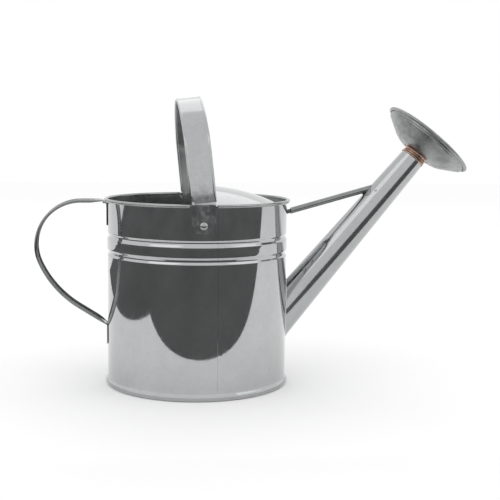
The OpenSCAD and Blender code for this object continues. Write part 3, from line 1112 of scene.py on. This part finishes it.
@dataclass
class RearHandle:
    """The looped strap behind the can, with a tab at each end."""

    width: float = 22.0
    thick: float = 0.8
    roll: float = 1.8
    wall: float = 100.0
    top: float = 205.5
    run: float = 28.5
    loop_r: float = 51.5
    extra: float = 25.0
    slope: float = 32.4
    foot_z: float = 63.0
    bead_under: float = 202.6
    tab: float = 26.0

    def path(self) -> list[Vec3]:
        """Middle line of the strap in the plane y = 0.

        Returns:
            Points as (x, z, angle of the outer normal in degrees).
        """
        out: list[Vec3] = []
        wall_x = -(self.wall + 0.1 + 0.65)
        bend_z = self.bead_under - 1.6
        for i in range(8):
            z = self.bead_under - self.tab + (bend_z - 1.2 - self.bead_under + self.tab) * i / 7
            out.append((wall_x, z, 180.0))
        step_x = -(self.wall + 4.6)
        for i in range(1, 5):
            a = 90 * i / 4
            out.append((wall_x - 1.2 * (1 - cosd(a)), bend_z - 1.2 + 1.2 * sind(a), 180 + a))
        out.append((step_x + 1.0, bend_z, 270.0))
        for i in range(1, 5):
            a = 90 * i / 4
            out.append((step_x + 1.0 - 1.0 * sind(a), bend_z + 1.0 * (1 - cosd(a)), 270 - a))
        return out

    def stations(self) -> list[Station]:
        """Stations along the visible loop, from the upper bend to the lower tab.

        Returns:
            The stations.
        """
        side = Vector((0, -1, 0))
        flat = self.roll
        top_z = self.top - self.roll
        r1 = self.loop_r - self.roll
        c1 = Vector((-(self.wall + self.run), top_z - r1))
        start_x = -(self.wall + 4.4)
        pts: list[tuple[float, float, float]] = []
        for i in range(7):
            pts.append((start_x + (c1.x - start_x) * i / 6, top_z, 90.0))
        for i in range(1, 31):
            a = 90 + (90 + self.extra) * i / 30
            pts.append((c1.x + r1 * cosd(a), c1.y + r1 * sind(a), a))
        loop_end = Vector((c1.x, c1.y)) + Vector((cosd(180 + self.extra), sind(180 + self.extra))) * self.loop_r
        run_n = Vector((sind(self.slope), cosd(self.slope)))
        loop_n = Vector((cosd(self.extra), sind(self.extra)))
        foot = Vector((-self.wall, self.foot_z))
        sag = run_n.dot(loop_end - foot) / (1 - run_n.dot(loop_n))
        c2 = loop_end + sag * loop_n
        r2 = sag - self.roll
        end_turn = 270 - self.slope
        first = 180 + self.extra
        for i in range(1, 25):
            a = first + (end_turn - first) * i / 24
            pts.append((c2.x + r2 * cosd(a), c2.y + r2 * sind(a), a))
        last = Vector((pts[-1][0], pts[-1][1]))
        slope = Vector((cosd(self.slope), -sind(self.slope)))
        reach = (-(self.wall + 2.6) - last.x) / slope.x
        for i in range(1, 7):
            p = last + slope * reach * i / 6
            pts.append((p.x, p.y, end_turn))
        out = []
        for x, z, a in pts:
            n = upright(a)
            near = held((x + self.wall + 9) / 6) if z < 120 else held((x + self.wall + 18) / 13)
            roll = flat - (flat - 0.62) * near
            out.append(Station(Vector((x, 0, z)), n, side, roll, self.width - 0.6 * near))
        tail = out[-1]
        base = Vector((-(self.wall + 0.75), 0, tail.at.z - 2.4))
        steps = 6
        for i in range(1, steps + 1):
            t = i / steps
            a = end_turn - (end_turn - 180) * t
            p = tail.at.lerp(base, math.sin(math.pi / 2 * t))
            p.z = tail.at.z - 2.4 * t
            n = upright(a)
            out.append(Station(p, n, side, 0.62, self.width - 1.0, 0.8 * t / self.wall))
        for i in range(1, 6):
            p = Vector((base.x, 0, base.z - 4.0 * i))
            out.append(Station(p, Vector((-1, 0, 0)), side, 0.62, self.width - 1.0, 0.8 / self.wall))
        head = []
        for x, z, a in self.path():
            n = upright(a)
            curve = 0.8 / self.wall if z < self.bead_under - 3 else 0.3 / self.wall
            head.append(Station(Vector((x, 0, z)), n, side, 0.62, self.width - 1.0, curve))
        return head + out

    def build(self) -> MeshBuilder:
        """Builds the handle.

        Returns:
            The builder that holds it.
        """
        b = MeshBuilder()
        sweep_strap(b, self.stations(), self.thick)
        return b


# --------------------------------------------------------------------------
# Spout, brace and rose
# --------------------------------------------------------------------------


@dataclass
class SpoutLine:
    """The spout's axis and taper, and the placement of what lies on it."""

    wall: float = 100.0
    z: float = 81.2
    angle: float = 49.9
    length: float = 227.0
    root_r: float = 20.9
    tip_r: float = 13.9

    @property
    def matrix(self) -> Matrix:
        """Placement that puts local Z on the axis; local -X is the crown.

        Returns:
            The placement.
        """
        return Matrix.Translation((self.wall, 0, self.z)) @ Matrix.Rotation(math.radians(90 - self.angle), 4, "Y")

    def radius(self, s: float) -> float:
        """Outer radius along the axis.

        Args:
            s: Distance along the axis from the wall.

        Returns:
            The radius.
        """
        return self.root_r - (self.root_r - self.tip_r) * s / self.length

    def point(self, s: float, turn: float, lift: float = 0.0) -> Vector:
        """A point on the spout.

        Args:
            s: Distance along the axis.
            turn: Angle in degrees round the axis; 0 is the crown, 90 the near side.
            lift: Distance out from the surface.

        Returns:
            The point.
        """
        a = math.radians(180 + turn)
        r = self.radius(s) + lift
        return self.matrix @ Vector((r * math.cos(a), r * math.sin(a), s))

    def wall_start(self, turn: float, lift: float, wall: float) -> float:
        """Where a line along the spout meets the body wall.

        Args:
            turn: Angle round the axis as in point.
            lift: Distance out from the surface.
            wall: Radius of the wall.

        Returns:
            The distance along the axis.
        """
        low, high = -60.0, 60.0
        for _ in range(50):
            mid = (low + high) / 2
            p = self.point(mid, turn, lift)
            if math.hypot(p.x, p.y) < wall:
                low = mid
            else:
                high = mid
        return (low + high) / 2


@dataclass
class Spout:
    """The tapered tube with its lap seam and the solder round its root."""

    line: SpoutLine = field(default_factory=SpoutLine)
    sheet: float = 0.5
    seam_turn: float = 182.0
    seam_half: float = 7.0

    def build(self) -> MeshBuilder:
        """Builds the tube.

        Returns:
            The builder that holds it.
        """
        b = MeshBuilder()
        line, n, m = self.line, 144, 40
        turns = sorted({360 * i / n for i in range(n)} | {self.seam_turn - self.seam_half,
                                                          self.seam_turn - self.seam_half - 0.6})
        rows = []
        for a in turns:
            lap = self.seam_turn - self.seam_half - 0.1 <= a <= self.seam_turn + 14
            lift = 0.32 * max(0.0, 1 - (a - self.seam_turn + self.seam_half) / (14 + self.seam_half)) if lap else 0.0
            s0 = line.wall_start(a, lift, line.wall + 0.08)
            s1 = line.wall_start(a, -self.sheet, line.wall + 0.08)
            outer = [tuple(line.point(s0 + (line.length - s0) * k / m, a, lift)) for k in range(m + 1)]
            inner = [tuple(line.point(s1 + (line.length - s1) * k / m, a, -self.sheet)) for k in range(m, -1, -1)]
            rows.append(outer + inner)
        b.grid(rows, True, True)
        return b

    def fillet(self) -> MeshBuilder:
        """Builds the solder round the root.

        Returns:
            The builder that holds it.
        """
        b = MeshBuilder()
        line, rows = self.line, []
        for i in range(180):
            a = 2.0 * i
            wob = 0.12 * sind(a * 7) + 0.08 * sind(a * 17 + 40)
            size = 1.15 + wob
            s0 = line.wall_start(a, 0.0, line.wall + 0.06)
            root = line.point(s0, a, 0.0)
            up = line.point(s0 + size * 1.3, a, 0.03)
            s2 = line.wall_start(a, size, line.wall + 0.06)
            foot = line.point(s2, a, size)
            mid = (up + foot + root) / 3.0
            rows.append([tuple(root), tuple(up), tuple(mid.lerp((up + foot) / 2, 0.5)), tuple(foot)])
        b.grid(rows, True, True)
        return b


@dataclass
class Brace:
    """The rolled brace between the rim and the spout, with its tongue and saddle."""

    line: SpoutLine = field(default_factory=SpoutLine)
    radius: float = 3.5
    sheet: float = 0.6
    start_x: float = 105.2
    z: float = 190.7
    angle: float = 15.8
    saddle_low: float = 155.5
    saddle_high: float = 168.0
    saddle_half: float = 10.5

    def run(self, turn: float, r: float) -> tuple[Vector, Vector]:
        """Both ends of a line along the tube, from the tongue to the spout.

        Args:
            turn: Angle in radians round the tube.
            r: Distance from the tube's axis.

        Returns:
            The line's two ends.
        """
        ang = math.radians(self.angle)
        along = Vector((math.cos(ang), 0, math.sin(ang)))
        up = Vector((-math.sin(ang), 0, math.cos(ang)))
        inverse = self.line.matrix.inverted()
        base = Vector((self.line.wall, 0, self.z)) + up * (r * math.cos(turn)) + Vector((0, 1,
                0)) * (r * math.sin(turn))
        low, high = 20.0, 130.0
        for _ in range(40):
            mid = (low + high) / 2
            q = inverse @ (base + along * mid)
            if math.hypot(q.x, q.y) > self.line.radius(q.z) + 0.25:
                low = mid
            else:
                high = mid
        return base + along * ((self.start_x - base.x) / along.x), base + along * low

    def tube(self, b: MeshBuilder) -> None:
        """Adds the rolled tube.

        Args:
            b: The builder to add to.
        """
        rows = []
        n = 40
        for i in range(n):
            a = 2 * math.pi * (i + 0.5) / n
            a0, a1 = self.run(a, self.radius)
            b0, b1 = self.run(a, self.radius - self.sheet)
            rows.append([tuple(a0.lerp(a1, k / 12)) for k in range(13)] + [tuple(b1.lerp(b0,
                    k / 12)) for k in range(13)])
        b.grid(rows, True, True)

    def saddle(self, b: MeshBuilder) -> None:
        """Adds the rounded saddle on the crown of the spout.

        Args:
            b: The builder to add to.
        """
        rows, length = [], self.saddle_high - self.saddle_low
        n, cols = 22, 24
        for i in range(n + 1):
            t = i / n
            s = self.saddle_low + length * math.sin(math.pi / 2 * t)
            bulge = max(s - (self.saddle_high - self.saddle_half), 0.0) / self.saddle_half
            half = self.saddle_half * math.sqrt(max(1 - bulge ** 2, 0.0005))
            half *= 0.62 + 0.38 * min((s - self.saddle_low) / 4.0, 1.0)
            r = self.line.radius(s)
            top, low = [], []
            for k in range(cols + 1):
                w = -half + 2 * half * k / cols
                turn = math.degrees(math.asin(w / (r + 0.4)))
                edge = 1 - max(abs(w) / half - 0.82, 0.0) / 0.18 if half > 1 else 0.5
                top.append(tuple(self.line.point(s, turn, 0.35 + 0.45 * edge)))
                low.append(tuple(self.line.point(s, turn, 0.06)))
            rows.append(top + low[::-1])
        b.grid(rows, False, True, cap=True)

    def tongue(self, b: MeshBuilder) -> None:
        """Adds the flat tongue between the wall and the tube.

        Args:
            b: The builder to add to.
        """
        rows = []
        for i in range(9):
            x = self.line.wall + 0.12 + (self.start_x + 2.5 - self.line.wall) * i / 8
            z = self.z + (x - self.line.wall) * tand(self.angle)
            h = 2.5 - 0.3 * (i / 8)
            t = 1.6 if i == 0 else 0.55
            rows.append([(x, -t, z - h), (x, t, z - h), (x, t, z + h), (x, -t, z + h)])
        b.grid(rows, False, True, cap=True)

    def weld(self) -> MeshBuilder:
        """Builds two spots of solder, one on each side of the saddle.

        Returns:
            The builder that holds it.
        """
        b = MeshBuilder()
        for s, turn, size in ((167.9, 48.0, 1.5), (166.4, -50.0, 1.1)):
            rows = []
            for i in range(9):
                lat = math.pi / 2 * i / 8
                ring = []
                for k in range(20):
                    a = 2 * math.pi * k / 20
                    ds = size * math.cos(lat) * math.cos(a)
                    dt = size * math.cos(lat) * math.sin(a)
                    ring.append(tuple(self.line.point(s + ds, turn + math.degrees(dt / self.line.radius(s)),
                                                      0.04 + 0.62 * size * math.sin(lat))))
                rows.append(ring)
            b.grid(rows, False, True, cap=True)
        return b


@dataclass
class Ferrule:
    """The threaded copper-coloured end of the spout."""

    line: SpoutLine = field(default_factory=SpoutLine)
    bore: float = 11.9
    crest: float = 14.3
    pitch: float = 3.0
    inside: float = 10.0
    outside: float = 13.0
    first_ridge: float = 1.2
    lip: tuple[tuple[float, float], ...] = (
        (0.10, 0.06), (0.24, -3.2), (0.30, -3.7), (0.52, -3.75), (0.80, -3.3), (0.92, -2.7), (0.86, -2.1), (0.55,
                -1.5), (0.42, -1.0),
        (0.40, -0.5))

    def build(self) -> MeshBuilder:
        """Builds the ferrule with a helical thread.

        Returns:
            The builder that holds it.
        """
        b = MeshBuilder()
        n, m = 96, 104
        rows = []
        start, end = self.line.length + 0.06, self.line.length + self.outside
        for i in range(n):
            a = 2 * math.pi * i / n
            row = [(self.bore, self.line.length - self.inside), (self.line.tip_r - 0.56,
                                                                 self.line.length - self.inside),
                   (self.line.tip_r - 0.56, start)]
            row += [(self.line.tip_r + dr, self.line.length + ds) for dr, ds in self.lip]
            for k in range(m + 1):
                s = start + (end - start) * k / m
                phase = ((s - self.line.length - self.first_ridge) / self.pitch - i / n) % 1.0
                ridge = math.exp(-((min(phase, 1 - phase) / 0.2) ** 2))
                fade = min((end - s) / 1.2, 1.0)
                row.append((self.crest - 0.75 + 0.75 * ridge * fade, s))
            row += [(self.bore + 0.3, end), (self.bore, end - 0.3)]
            rows.append([(r * math.cos(a), r * math.sin(a), s) for r, s in row])
        b.grid(b.placed(rows, self.line.matrix), True, True)
        return b


@dataclass
class Rose:
    """Collar, dished back and perforated face, as one turning body."""

    line: SpoutLine = field(default_factory=SpoutLine)
    back_s: float = 231.0
    collar_bore: float = 14.36
    collar_r: float = 15.66
    washer_s: float = 240.05
    washer_t: float = 1.15
    radius: float = 55.5
    depth: float = 22.3
    sheet: float = 0.5
    bend_r: float = 36.0
    slope: float = 32.0
    roll: float = 1.9
    dome: float = 4.5
    hole_r: float = 1.0
    rings: int = 5

    def collar(self) -> MeshBuilder:
        """Builds the collar with its female thread.

        Returns:
            The builder that holds it.
        """
        b = MeshBuilder()
        n, m = 96, 60
        low, lip = self.back_s, self.washer_s + self.washer_t + 0.05
        rows = []
        for i in range(n):
            a = 2 * math.pi * i / n
            row = [(11.9, lip), (11.9, lip + 1.0), (self.collar_r - 0.3, lip + 1.0), (self.collar_r, lip + 0.7),
                   (self.collar_r, low + 0.3),
                   (self.collar_r - 0.3, low)]
            for k in range(m + 1):
                s = low + 0.05 + (self.washer_s - 0.3 - low) * k / m
                phase = ((s - self.line.length - 1.2) / 3.0 - i / n) % 1.0
                groove = math.exp(-((min(phase, 1 - phase) / 0.22) ** 2))
                row.append((self.collar_bore - 0.5 + 0.5 * groove, s))
            row.append((self.collar_bore, lip))
            rows.append([(r * math.cos(a), r * math.sin(a), s) for r, s in row])
        b.grid(b.placed(rows, self.line.matrix), True, True)
        return b

    def back_path(self) -> Loop:
        """Middle line of the back from the neck to the rim.

        Returns:
            Points as (radius, distance along the axis).
        """
        neck = self.collar_r + 0.5
        s0 = self.back_s + self.sheet / 2
        path = arc(neck, s0 + self.bend_r, self.bend_r, -90, -90 + self.slope, 20)
        end_r, end_s = path[-1]
        shoulder = self.radius - 2 * self.roll - 1.0
        path.append(((end_r + shoulder) / 2, end_s + (shoulder - end_r) / 2 * tand(self.slope)))
        cone_s = end_s + (shoulder - end_r) * tand(self.slope)
        path.append((shoulder, cone_s))
        flange = self.back_s + self.depth - self.roll
        path += arc(shoulder - 1.2, flange - 2.6, 2.0, -52, 0, 6)
        path += [(self.radius - self.roll - 1.2, flange - 0.35), (self.radius - self.roll + 0.2, flange)]
        return path

    def back(self) -> MeshBuilder:
        """Builds the dished back.

        Returns:
            The builder that holds it.
        """
        b = MeshBuilder()
        b.lathe(folded(self.back_path(), self.sheet), 224, self.line.matrix)
        return b

    def washer(self) -> MeshBuilder:
        """Builds the sealing washer.

        Returns:
            The builder that holds it.
        """
        b = MeshBuilder()
        s, t = self.washer_s, self.washer_t
        outline = [(11.9, s + 0.15), (12.05, s), (14.1, s), (14.24, s + 0.15), (14.24, s + t - 0.15), (14.1, s + t),
                   (12.05, s + t), (11.9, s + t - 0.15)]
        b.lathe(outline, 96, self.line.matrix)
        return b

    def face_plate(self) -> MeshBuilder:
        """Builds the domed face with its rolled rim, before it is pierced.

        Returns:
            The builder that holds it, along the Z axis with the rim's front at 0.
        """
        b = MeshBuilder()
        mid_r = self.radius - self.roll
        edge = mid_r - 2.0
        big = (edge ** 2 + self.dome ** 2) / (2 * self.dome)
        path = []
        for i in range(41):
            r = 0.02 + (edge - 0.6 - 0.02) * i / 40
            path.append((r, math.sqrt(big * big - r * r) - (big - self.dome) - self.sheet))
        path += [(edge + 0.5, -0.35)]
        path += arc(mid_r, -self.roll, self.roll - self.sheet / 2, 100, -120, 18)
        b.lathe(folded(path, self.sheet), 224)
        return b


def ring_group(name: str, material: bpy.types.Material) -> bpy.types.NodeTree:
    """Builds the node group that pierces a plate with rings of holes.

    Args:
        name: Name of the group.
        material: The plate's finish.

    Returns:
        The node group, with the inputs Hole Radius and Ring Pitch.
    """
    group = bpy.data.node_groups.new(name, "GeometryNodeTree")
    face = group.interface
    face.new_socket("Geometry", in_out="INPUT", socket_type="NodeSocketGeometry")
    for label, value in (("Hole Radius", 0.001), ("Ring Pitch", 0.009)):
        socket = face.new_socket(label, in_out="INPUT", socket_type="NodeSocketFloat")
        socket.default_value = value
    face.new_socket("Geometry", in_out="OUTPUT", socket_type="NodeSocketGeometry")
    t = Tree(group)
    source = t.add("NodeGroupInput")
    rings = t.add("GeometryNodeJoinGeometry")
    centre = t.add("GeometryNodeMeshLine", Count=1)
    group.links.new(centre.outputs[0], rings.inputs[0])
    for k in range(1, 6):
        circle = t.add("GeometryNodeMeshCircle", Vertices=6 * k, Radius=t.math("MULTIPLY",
                                                                               source.outputs["Ring Pitch"], float(k)))
        group.links.new(circle.outputs[0], rings.inputs[0])
    bar = t.add("GeometryNodeMeshCylinder", {"fill_type": "NGON"}, Vertices=20, Radius=source.outputs["Hole Radius"],
                Depth=0.03)
    drills = t.add("GeometryNodeInstanceOnPoints", Points=rings.outputs[0], Instance=bar.outputs["Mesh"])
    real = t.add("GeometryNodeRealizeInstances", Geometry=drills.outputs[0])
    pierce = t.add("GeometryNodeMeshBoolean", {"operation": "DIFFERENCE", "solver": "EXACT"})
    group.links.new(source.outputs["Geometry"], pierce.inputs[0])
    group.links.new(real.outputs[0], pierce.inputs[1])
    final = t.add("GeometryNodeRealizeInstances", Geometry=pierce.outputs[0])
    paint = t.add("GeometryNodeSetMaterial", Geometry=final.outputs[0], Material=material)
    sink = t.add("NodeGroupOutput")
    group.links.new(paint.outputs[0], sink.inputs[0])
    return group


def pierced(obj: bpy.types.Object, rose: Rose, material: bpy.types.Material) -> bpy.types.Object:
    """Pierces the face and puts it in place.

    Args:
        obj: The plain face along the Z axis.
        rose: Sizes of the rose.
        material: Its finish.

    Returns:
        The face as a plain mesh in the row frame.
    """
    group = ring_group("spray_rings", material)
    step = obj.modifiers.new("spray", "NODES")
    step.node_group = group
    values = {"Hole Radius": rose.hole_r * MM, "Ring Pitch": (rose.radius - rose.roll - 6.0) / rose.rings * MM}
    for item in group.interface.items_tree:
        if item.item_type == "SOCKET" and item.in_out == "INPUT" and item.name in values:
            step[item.identifier] = values[item.name]
    mesh = baked(obj)
    front = rose.line.matrix @ Matrix.Translation((0, 0, rose.back_s + rose.depth))
    scale = Matrix.Diagonal((1000.0, 1000.0, 1000.0, 1.0))
    back = Matrix.Diagonal((MM, MM, MM, 1.0))
    mesh.transform(back @ front @ scale)
    mesh.shade_smooth()
    mesh.set_sharp_from_angle(angle=math.radians(SHARP))
    return obj


# --------------------------------------------------------------------------
# The studio
# --------------------------------------------------------------------------


@dataclass
class Studio:
    """Floor, dark flags, light and camera."""

    camera_at: Vec3 = (-0.0766, -1.1577, 0.2882)
    azimuth: float = -6.71
    elevation: float = 6.88
    roll: float = 0.657
    lens: float = 74.8
    aim: Vec3 = (0, 0, 0.12)
    lamps: tuple[tuple[str, Vec3, float, float], ...] = (
        ("key", (-1.4, -1.0, 1.7), 1.4, 3.0), ("fill", (1.6, -0.7, 1.2), 1.3, 2.0), ("back", (0.2, 1.5, 1.6), 1.4, 3.0))
    floor: tuple[float, float, float, float] = (-4, 4, -4, 4)
    flag: tuple[float, float, float, float] = (-4.0, 4.0, -4.0, -0.29)
    side_flag: tuple[float, float, float, float] = (-4.0, -0.5, -0.29, 0.8)

    @staticmethod
    def lay(name: str, cloth: str, tones: tuple[float, float], grain: float, rough: float,
            areas: tuple[tuple[float, float, float, float], ...], z: float) -> bpy.types.Object:
        """Lays level sheets of one cloudy grey.

        Args:
            name: Name of the object.
            cloth: Name of its material.
            tones: Darkest and palest grey.
            grain: Scale of the clouds.
            rough: Roughness.
            areas: Each sheet as (low x, high x, low y, high y) in metres.
            z: Height in metres.

        Returns:
            The staged object.
        """
        material, t, shader = new_material(cloth)
        cloud = t.add("ShaderNodeTexNoise", Vector=t.place(), Scale=grain)
        low, high = ((tone, tone, tone, 1.0) for tone in tones)
        t.put(shader.inputs["Base Color"], t.blend(cloud.outputs["Fac"], low, high))
        shader.inputs["Roughness"].default_value = rough
        corners, indices = [], []
        for x0, x1, y0, y1 in areas:
            indices.append(tuple(range(len(corners), len(corners) + 4)))
            corners += [(x0, y0, 0), (x1, y0, 0), (x1, y1, 0), (x0, y1, 0)]
        mesh = bpy.data.meshes.new(name)
        mesh.from_pydata(corners, [], indices)
        mesh.materials.append(material)
        obj = link(name, mesh)
        obj.location.z = z
        return obj

    def ground(self) -> None:
        """Lays the pale floor, and the dark flags just above it that only the metal sees."""
        self.lay("floor", "floor_white", (0.97, 0.985), 3.0, 0.9, (self.floor,), -0.0004)
        flags = self.lay("flags", "flag_cloth", (0.03, 0.14), 1.1, 0.95, (self.flag, self.side_flag), 0.0002)
        flags.visible_camera = False
        flags.visible_diffuse = False
        flags.visible_shadow = False

    def lights(self) -> None:
        """Sets the soft lamps and the white surroundings."""
        world = bpy.data.worlds.new("studio")
        world.use_nodes = True
        world.node_tree.nodes.clear()
        t = Tree(world.node_tree)
        path = t.add("ShaderNodeLightPath")
        soft = t.add("ShaderNodeBackground", Color=(1.0, 1.0, 1.0, 1.0), Strength=1.0)
        white = t.add("ShaderNodeBackground", Color=(1.0, 1.0, 1.0, 1.0), Strength=1.0)
        seen = t.math("MAXIMUM", path.outputs["Is Camera Ray"], path.outputs["Is Glossy Ray"])
        seen = t.math("MAXIMUM", seen, path.outputs["Is Transmission Ray"])
        last = t.add("ShaderNodeMixShader")
        t.put(last.inputs[0], seen)
        t.put(last.inputs[1], soft.outputs[0])
        t.put(last.inputs[2], white.outputs[0])
        t.add("ShaderNodeOutputWorld", Surface=last.outputs[0])
        bpy.context.scene.world = world
        for name, at, size, power in self.lamps:
            data = bpy.data.lights.new(name, "AREA")
            data.size = size
            data.energy = power
            obj = link(name, data)
            obj.location = at
            obj.rotation_euler = (Vector(self.aim) - Vector(at)).to_track_quat("-Z", "Y").to_euler()

    def camera(self) -> None:
        """Places the camera."""
        scene = bpy.context.scene
        data = bpy.data.cameras.new("camera")
        data.lens = self.lens
        data.sensor_width = 36.0
        obj = link("camera", data)
        a, e = math.radians(self.azimuth), math.radians(self.elevation)
        back = Vector((math.sin(a) * math.cos(e), -math.cos(a) * math.cos(e), math.sin(e)))
        turn = back.to_track_quat("Z", "Y").to_matrix().to_4x4()
        obj.matrix_world = Matrix.Translation(self.camera_at) @ turn @ Matrix.Rotation(math.radians(self.roll), 4, "Z")
        scene.camera = obj
        scene.view_settings.view_transform = "Standard"


# --------------------------------------------------------------------------
# The can
# --------------------------------------------------------------------------


@dataclass
class WateringCan:
    """The whole can, piece by piece."""

    shell: Shell = field(default_factory=Shell)
    cover: Cover = field(default_factory=Cover)
    carry: CarryHandle = field(default_factory=CarryHandle)
    rear: RearHandle = field(default_factory=RearHandle)
    spout: Spout = field(default_factory=Spout)
    brace: Brace = field(default_factory=Brace)
    ferrule: Ferrule = field(default_factory=Ferrule)
    rose: Rose = field(default_factory=Rose)

    def build(self, paint: Palette) -> None:
        """Builds every piece and hands it over to the frame.

        Args:
            paint: The finishes.
        """
        self.build_shell(paint)
        self.build_handles(paint)
        self.build_spout(paint)
        self.build_rose(paint)

    def build_shell(self, paint: Palette) -> None:
        """Builds wall, base and cover.

        Args:
            paint: The finishes.
        """
        wall = self.shell.wall().make("wall", [paint.wall])
        drill = MeshBuilder()
        line = self.spout.line
        inner = [(0.01, -34.0), (line.radius(-34) - 0.7, -34.0), (line.radius(34) - 0.7, 34.0), (0.01, 34.0)]
        drill.lathe(inner, 96, line.matrix)
        wall = cut(wall, [drill.make("drill", [paint.wall])])
        # Faces that look into the can take the darker inside zinc, painted shade inside the can.
        wall.data.materials.append(paint.inside)
        for face in wall.data.polygons:
            if face.center.xy.dot(face.normal.xy) < 0 and face.center.xy.length < 0.0998:
                face.material_index = 1
        # The rim bead takes the darker bead zinc, painted dark reflections.
        wall = join("wall", [wall, self.shell.rim().make("rim", [paint.bead])])
        hand_over(wall, Body.CAN, Slot.SHEET, "body_wall")
        hand_over(self.shell.base().make("base_pan", [paint.tube]), Body.CAN, Slot.SHEET, "base")
        hand_over(self.cover.build("cover", paint.strap), Body.CAN, Slot.SHEET, "splash_cover")

    def build_handles(self, paint: Palette) -> None:
        """Builds both handles, the rivets and the rim lugs.

        Args:
            paint: The finishes.
        """
        arch = self.carry.build().make("arch", [paint.strap, paint.lining])
        for face in arch.data.polygons:
            centre = Vector((0, 0, 0.2)) - face.center
            if face.normal.dot(Vector((0, centre.y, centre.z)).normalized()) > 0.55:
                face.material_index = 1
        hand_over(arch, Body.CAN, Slot.SHEET, "carry_handle")
        # The rivets take the same darker bead zinc, painted dark reflections.
        hand_over(self.carry.rivet(-1.0).make("rivet_near", [paint.bead]), Body.CAN, Slot.SATIN, "carry_rivet_near")
        hand_over(self.carry.rivet(1.0).make("rivet_far", [paint.bead]), Body.CAN, Slot.SATIN, "carry_rivet_far")
        hand_over(self.carry.crimp(-1.0).make("lug_near", [paint.solder]), Body.CAN, Slot.SHEET)
        hand_over(self.carry.crimp(1.0).make("lug_far", [paint.solder]), Body.CAN, Slot.SHEET)
        # The rear handle takes the darker, rougher zinc; its darkness is painted dark reflections.
        hand_over(self.rear.build().make("loop", [paint.dull_painted_dark]), Body.CAN, Slot.SATIN, "rear_handle")

    def build_spout(self, paint: Palette) -> None:
        """Builds the spout, its solder, the brace and the ferrule.

        Args:
            paint: The finishes.
        """
        hand_over(self.spout.build().make("spout_tube", [paint.tube]), Body.CAN, Slot.SATIN, "spout")
        hand_over(self.spout.fillet().make("spout_solder", [paint.solder], 60), Body.CAN, Slot.SATIN)
        b = MeshBuilder()
        self.brace.tube(b)
        self.brace.saddle(b)
        self.brace.tongue(b)
        # The brace takes the same darker zinc, painted dark reflections.
        hand_over(b.make("brace", [paint.dull_painted_dark]), Body.CAN, Slot.SATIN, "spout_brace")
        hand_over(self.brace.weld().make("brace_solder", [paint.solder], 60), Body.CAN, Slot.SATIN)
        hand_over(self.ferrule.build().make("ferrule", [paint.copper], 50), Body.CAN, Slot.COPPER, "spout_ferrule")

    def build_rose(self, paint: Palette) -> None:
        """Builds the rose and its washer.

        Args:
            paint: The finishes.
        """
        hand_over(self.rose.washer().make("washer", [paint.rubber]), Body.SEAL, Slot.RUBBER, "rose_washer")
        hand_over(self.rose.collar().make("collar", [paint.copper], 50), Body.ROSE, Slot.COPPER, "rose_collar")
        hand_over(self.rose.back().make("rose_dish", [paint.rose]), Body.ROSE, Slot.SATIN, "rose_back")
        plate = self.rose.face_plate().make("rose_plate", [paint.rose])
        hand_over(pierced(plate, self.rose, paint.rose), Body.ROSE, Slot.SATIN, "rose_face")


def main() -> None:
    """Builds the scene."""
    logging.basicConfig(level=logging.INFO, format="%(message)s")
    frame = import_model()
    LOG.info("frame: %d nodes", len(frame["nodes"]))
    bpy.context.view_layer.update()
    WateringCan().build(Palette())
    studio = Studio()
    studio.ground()
    studio.lights()
    studio.camera()


if __name__ == "__main__":
    main()
